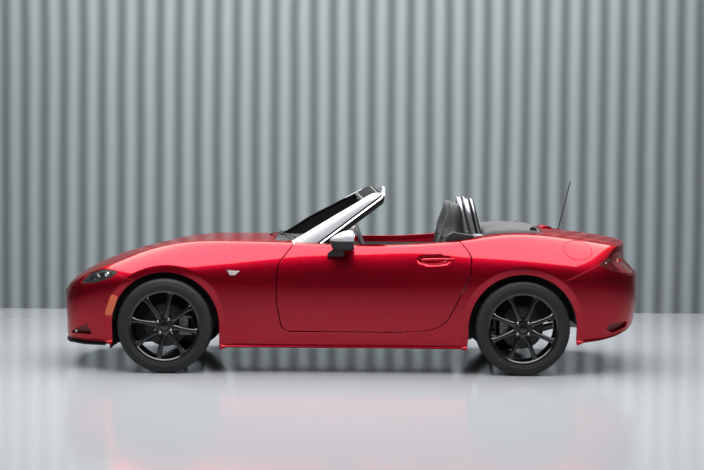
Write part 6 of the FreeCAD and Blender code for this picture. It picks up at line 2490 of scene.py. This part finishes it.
# ------------------------------------------------------------------ light and view
@dataclass
class Studio:
    """The plain room: a pale floor, soft lamps overhead, and the camera."""

    distance: float = 11.5
    eye: float = 1.341
    lens: float = 85.0
    pitch: float = 2.36
    roll: float = -0.445
    curtain_y: float = 3.9
    pleat: float = 0.178

    def build(self) -> None:
        """Makes the floor, the curtain, the lamps, the world and the camera."""
        self.floor()
        self.curtain()
        self.world()
        self.lamp("overhead", (-0.15, -0.1, 4.0), (0, 0, 0), (7.4, 9.4), 900)
        self.lamp("overhead_gleam", (-0.15, -0.1, 3.9), (0, 0, 0), (7.4, 9.4), 700).visible_diffuse = False
        self.lamp("front_fill", (0.0, -9.0, 2.6), (math.radians(78), 0, 0), (8.0, 1.2), 70).visible_glossy = False
        self.camera()
        bpy.context.scene.view_settings.view_transform = "Standard"

    def floor(self) -> None:
        """Lays the floor."""
        bpy.ops.mesh.primitive_plane_add(size=60, location=(0, 0, 0))
        floor = bpy.context.object
        floor.name = "floor_plane"
        material = bpy.data.materials.new("floor_pale")
        material.use_nodes = True
        shader = material.node_tree.nodes["Principled BSDF"]
        shader.inputs["Base Color"].default_value = (0.44, 0.455, 0.48, 1)
        shader.inputs["Roughness"].default_value = 0.11
        floor.data.materials.append(material)
        floor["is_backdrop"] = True

    def curtain(self) -> None:
        """Hangs a flat grey curtain whose folds are painted on it as bands of light and shade, clear where it is seen
        from its back.
        """
        wide, high = 10.5, 4.4
        outline = [(-wide, self.curtain_y, 0.0), (wide, self.curtain_y, 0.0),
                   (wide, self.curtain_y, high), (-wide, self.curtain_y, high)]
        mesh = bpy.data.meshes.new("curtain")
        mesh.from_pydata(outline, [], [(0, 1, 2, 3)])
        if mesh.polygons[0].normal.y > 0:
            mesh.flip_normals()
        curtain = bpy.data.objects.new("curtain", mesh)
        bpy.context.scene.collection.objects.link(curtain)
        material = bpy.data.materials.new("curtain_grey")
        material.use_nodes = True
        shader = material.node_tree.nodes["Principled BSDF"]
        shader.inputs["Roughness"].default_value = 0.85
        board = ShaderBoard(material.node_tree)
        # Painted light and shade of the folds: a wave of dark and light bands in the colour.
        painted_fold_shade = board.add("ShaderNodeTexWave", wave_type="BANDS", bands_direction="X", wave_profile="SIN")
        painted_fold_shade.inputs["Scale"].default_value = 2 * math.pi / (20 * self.pleat)
        painted_fold_shade.inputs["Distortion"].default_value = 0.8
        painted_fold_shade.inputs["Detail Scale"].default_value = 0.3
        board.link(board.add("ShaderNodeTexCoord").outputs["Object"], painted_fold_shade.inputs["Vector"])
        # The shaded and the lit tone of the painted folds.
        fold_light_and_shade = board.add("ShaderNodeMix", data_type="RGBA")
        fold_light_and_shade.inputs[6].default_value = (0.075, 0.090, 0.094, 1)
        fold_light_and_shade.inputs[7].default_value = (0.215, 0.250, 0.258, 1)
        board.link(painted_fold_shade.outputs["Fac"], fold_light_and_shade.inputs[0])
        board.link(fold_light_and_shade.outputs[2], shader.inputs["Base Color"])
        mix = board.add("ShaderNodeMixShader")
        board.link(board.add("ShaderNodeNewGeometry").outputs["Backfacing"], mix.inputs[0])
        board.link(shader.outputs["BSDF"], mix.inputs[1])
        board.link(board.add("ShaderNodeBsdfTransparent").outputs["BSDF"], mix.inputs[2])
        board.link(mix.outputs["Shader"], material.node_tree.nodes["Material Output"].inputs["Surface"])
        curtain.data.materials.append(material)
        curtain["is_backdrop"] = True

    def world(self) -> None:
        """Sets a plain graded sky: dark at the horizon, brighter above."""
        world = bpy.data.worlds.new("studio_air")
        bpy.context.scene.world = world
        world.use_nodes = True
        world.node_tree.nodes.clear()
        board = ShaderBoard(world.node_tree)
        out = board.add("ShaderNodeOutputWorld")
        light = board.add("ShaderNodeBackground", Strength=1.0)
        place = board.add("ShaderNodeTexCoord")
        split = board.add("ShaderNodeSeparateXYZ")
        ramp = board.add("ShaderNodeValToRGB")
        board.link(place.outputs["Generated"], split.inputs["Vector"])
        board.link(split.outputs["Z"], ramp.inputs["Fac"])
        stops = ramp.color_ramp.elements
        stops[0].position, stops[0].color = 0.0, (0.10, 0.105, 0.11, 1)
        stops[1].position, stops[1].color = 0.45, (0.05, 0.052, 0.055, 1)
        top = stops.new(0.85)
        top.color = (0.35, 0.36, 0.37, 1)
        board.link(ramp.outputs["Color"], light.inputs["Color"])
        board.link(light.outputs["Background"], out.inputs["Surface"])

    def lamp(self, name: str, at: Triple, turn: Triple, size: Pair, power: float) -> bpy.types.Object:
        """Hangs one soft rectangular lamp and returns it."""
        data = bpy.data.lights.new(name, "AREA")
        data.shape = "RECTANGLE"
        data.size, data.size_y = size
        data.energy = power
        lamp = bpy.data.objects.new(name, data)
        lamp.location, lamp.rotation_euler = at, turn
        bpy.context.scene.collection.objects.link(lamp)
        return lamp

    def camera(self) -> None:
        """Sets the camera square to the car's left side."""
        data = bpy.data.cameras.new("camera")
        data.lens, data.sensor_width = self.lens, 36.0
        camera = bpy.data.objects.new("camera", data)
        camera.location = (0.0, -self.distance, self.eye)
        camera.rotation_euler = (math.radians(90 - self.pitch), math.radians(self.roll), 0)
        bpy.context.scene.collection.objects.link(camera)
        bpy.context.scene.camera = camera


def dress_nodes() -> None:
    """Gives each CAD node that still shows its proper finish."""
    by_slot = {
        "red_paint": Finishes.PAINT, "dark_paint": Finishes.UNDER, "silver_trim": Finishes.SILVER,
        "black_wheel": Finishes.BLACK_WHEEL, "black_plastic": Finishes.PLASTIC, "glass": Finishes.GLASS_TINT_AND_PAINTED_REFLECTION,
        "lamp_clear": Finishes.LENS, "lamp_red": Finishes.LENS_RED, "tyre": Finishes.TYRE,
        "cloth": Finishes.ROOF_CLOTH, "cabin_trim": Finishes.TRIM, "leather": Finishes.LEATHER,
        "iron": Finishes.IRON, "aluminium": Finishes.ALLOY, "steel": Finishes.STEEL,
    }
    slots = {entry["node"]: entry["material_slot"] for entry in frame["record"]["subparts"]}
    for name, node in frame["nodes"].items():
        for holder in node.material_slots:
            holder.material = by_slot[slots[name]].material()


def main() -> None:
    """Builds the car's looks piece by piece."""
    logging.basicConfig(level=logging.INFO)
    Studio().build()
    dress_nodes()
    surface = Surface(BodySkin(), Modelling())
    tailor = Tailor(surface)
    BodyPanels(tailor).build()
    Lamps(tailor).build()
    NoseTrim(tailor).build()
    Cowl(tailor).build()
    Windscreen().build()
    Seat().build()
    Cabin().build()
    SteeringWheel().build()
    RollHoops().build()
    FoldedRoof().build()
    RearTrim(tailor).build()
    WheelLiners().build()
    for side in Side:
        Mirror(side).build()
        DoorCard(tailor, side).build()
        DoorHandle(tailor, side).build()
        tag = side.name.lower()
        Wheel("front", side, 10.0).build()
        Wheel("rear", side, 22.5).build()
        Brake("front", side, f"knuckle_{tag}", 1).build()
        Brake("rear", side, "body", -1).build()


if __name__ == "__main__":
    main()
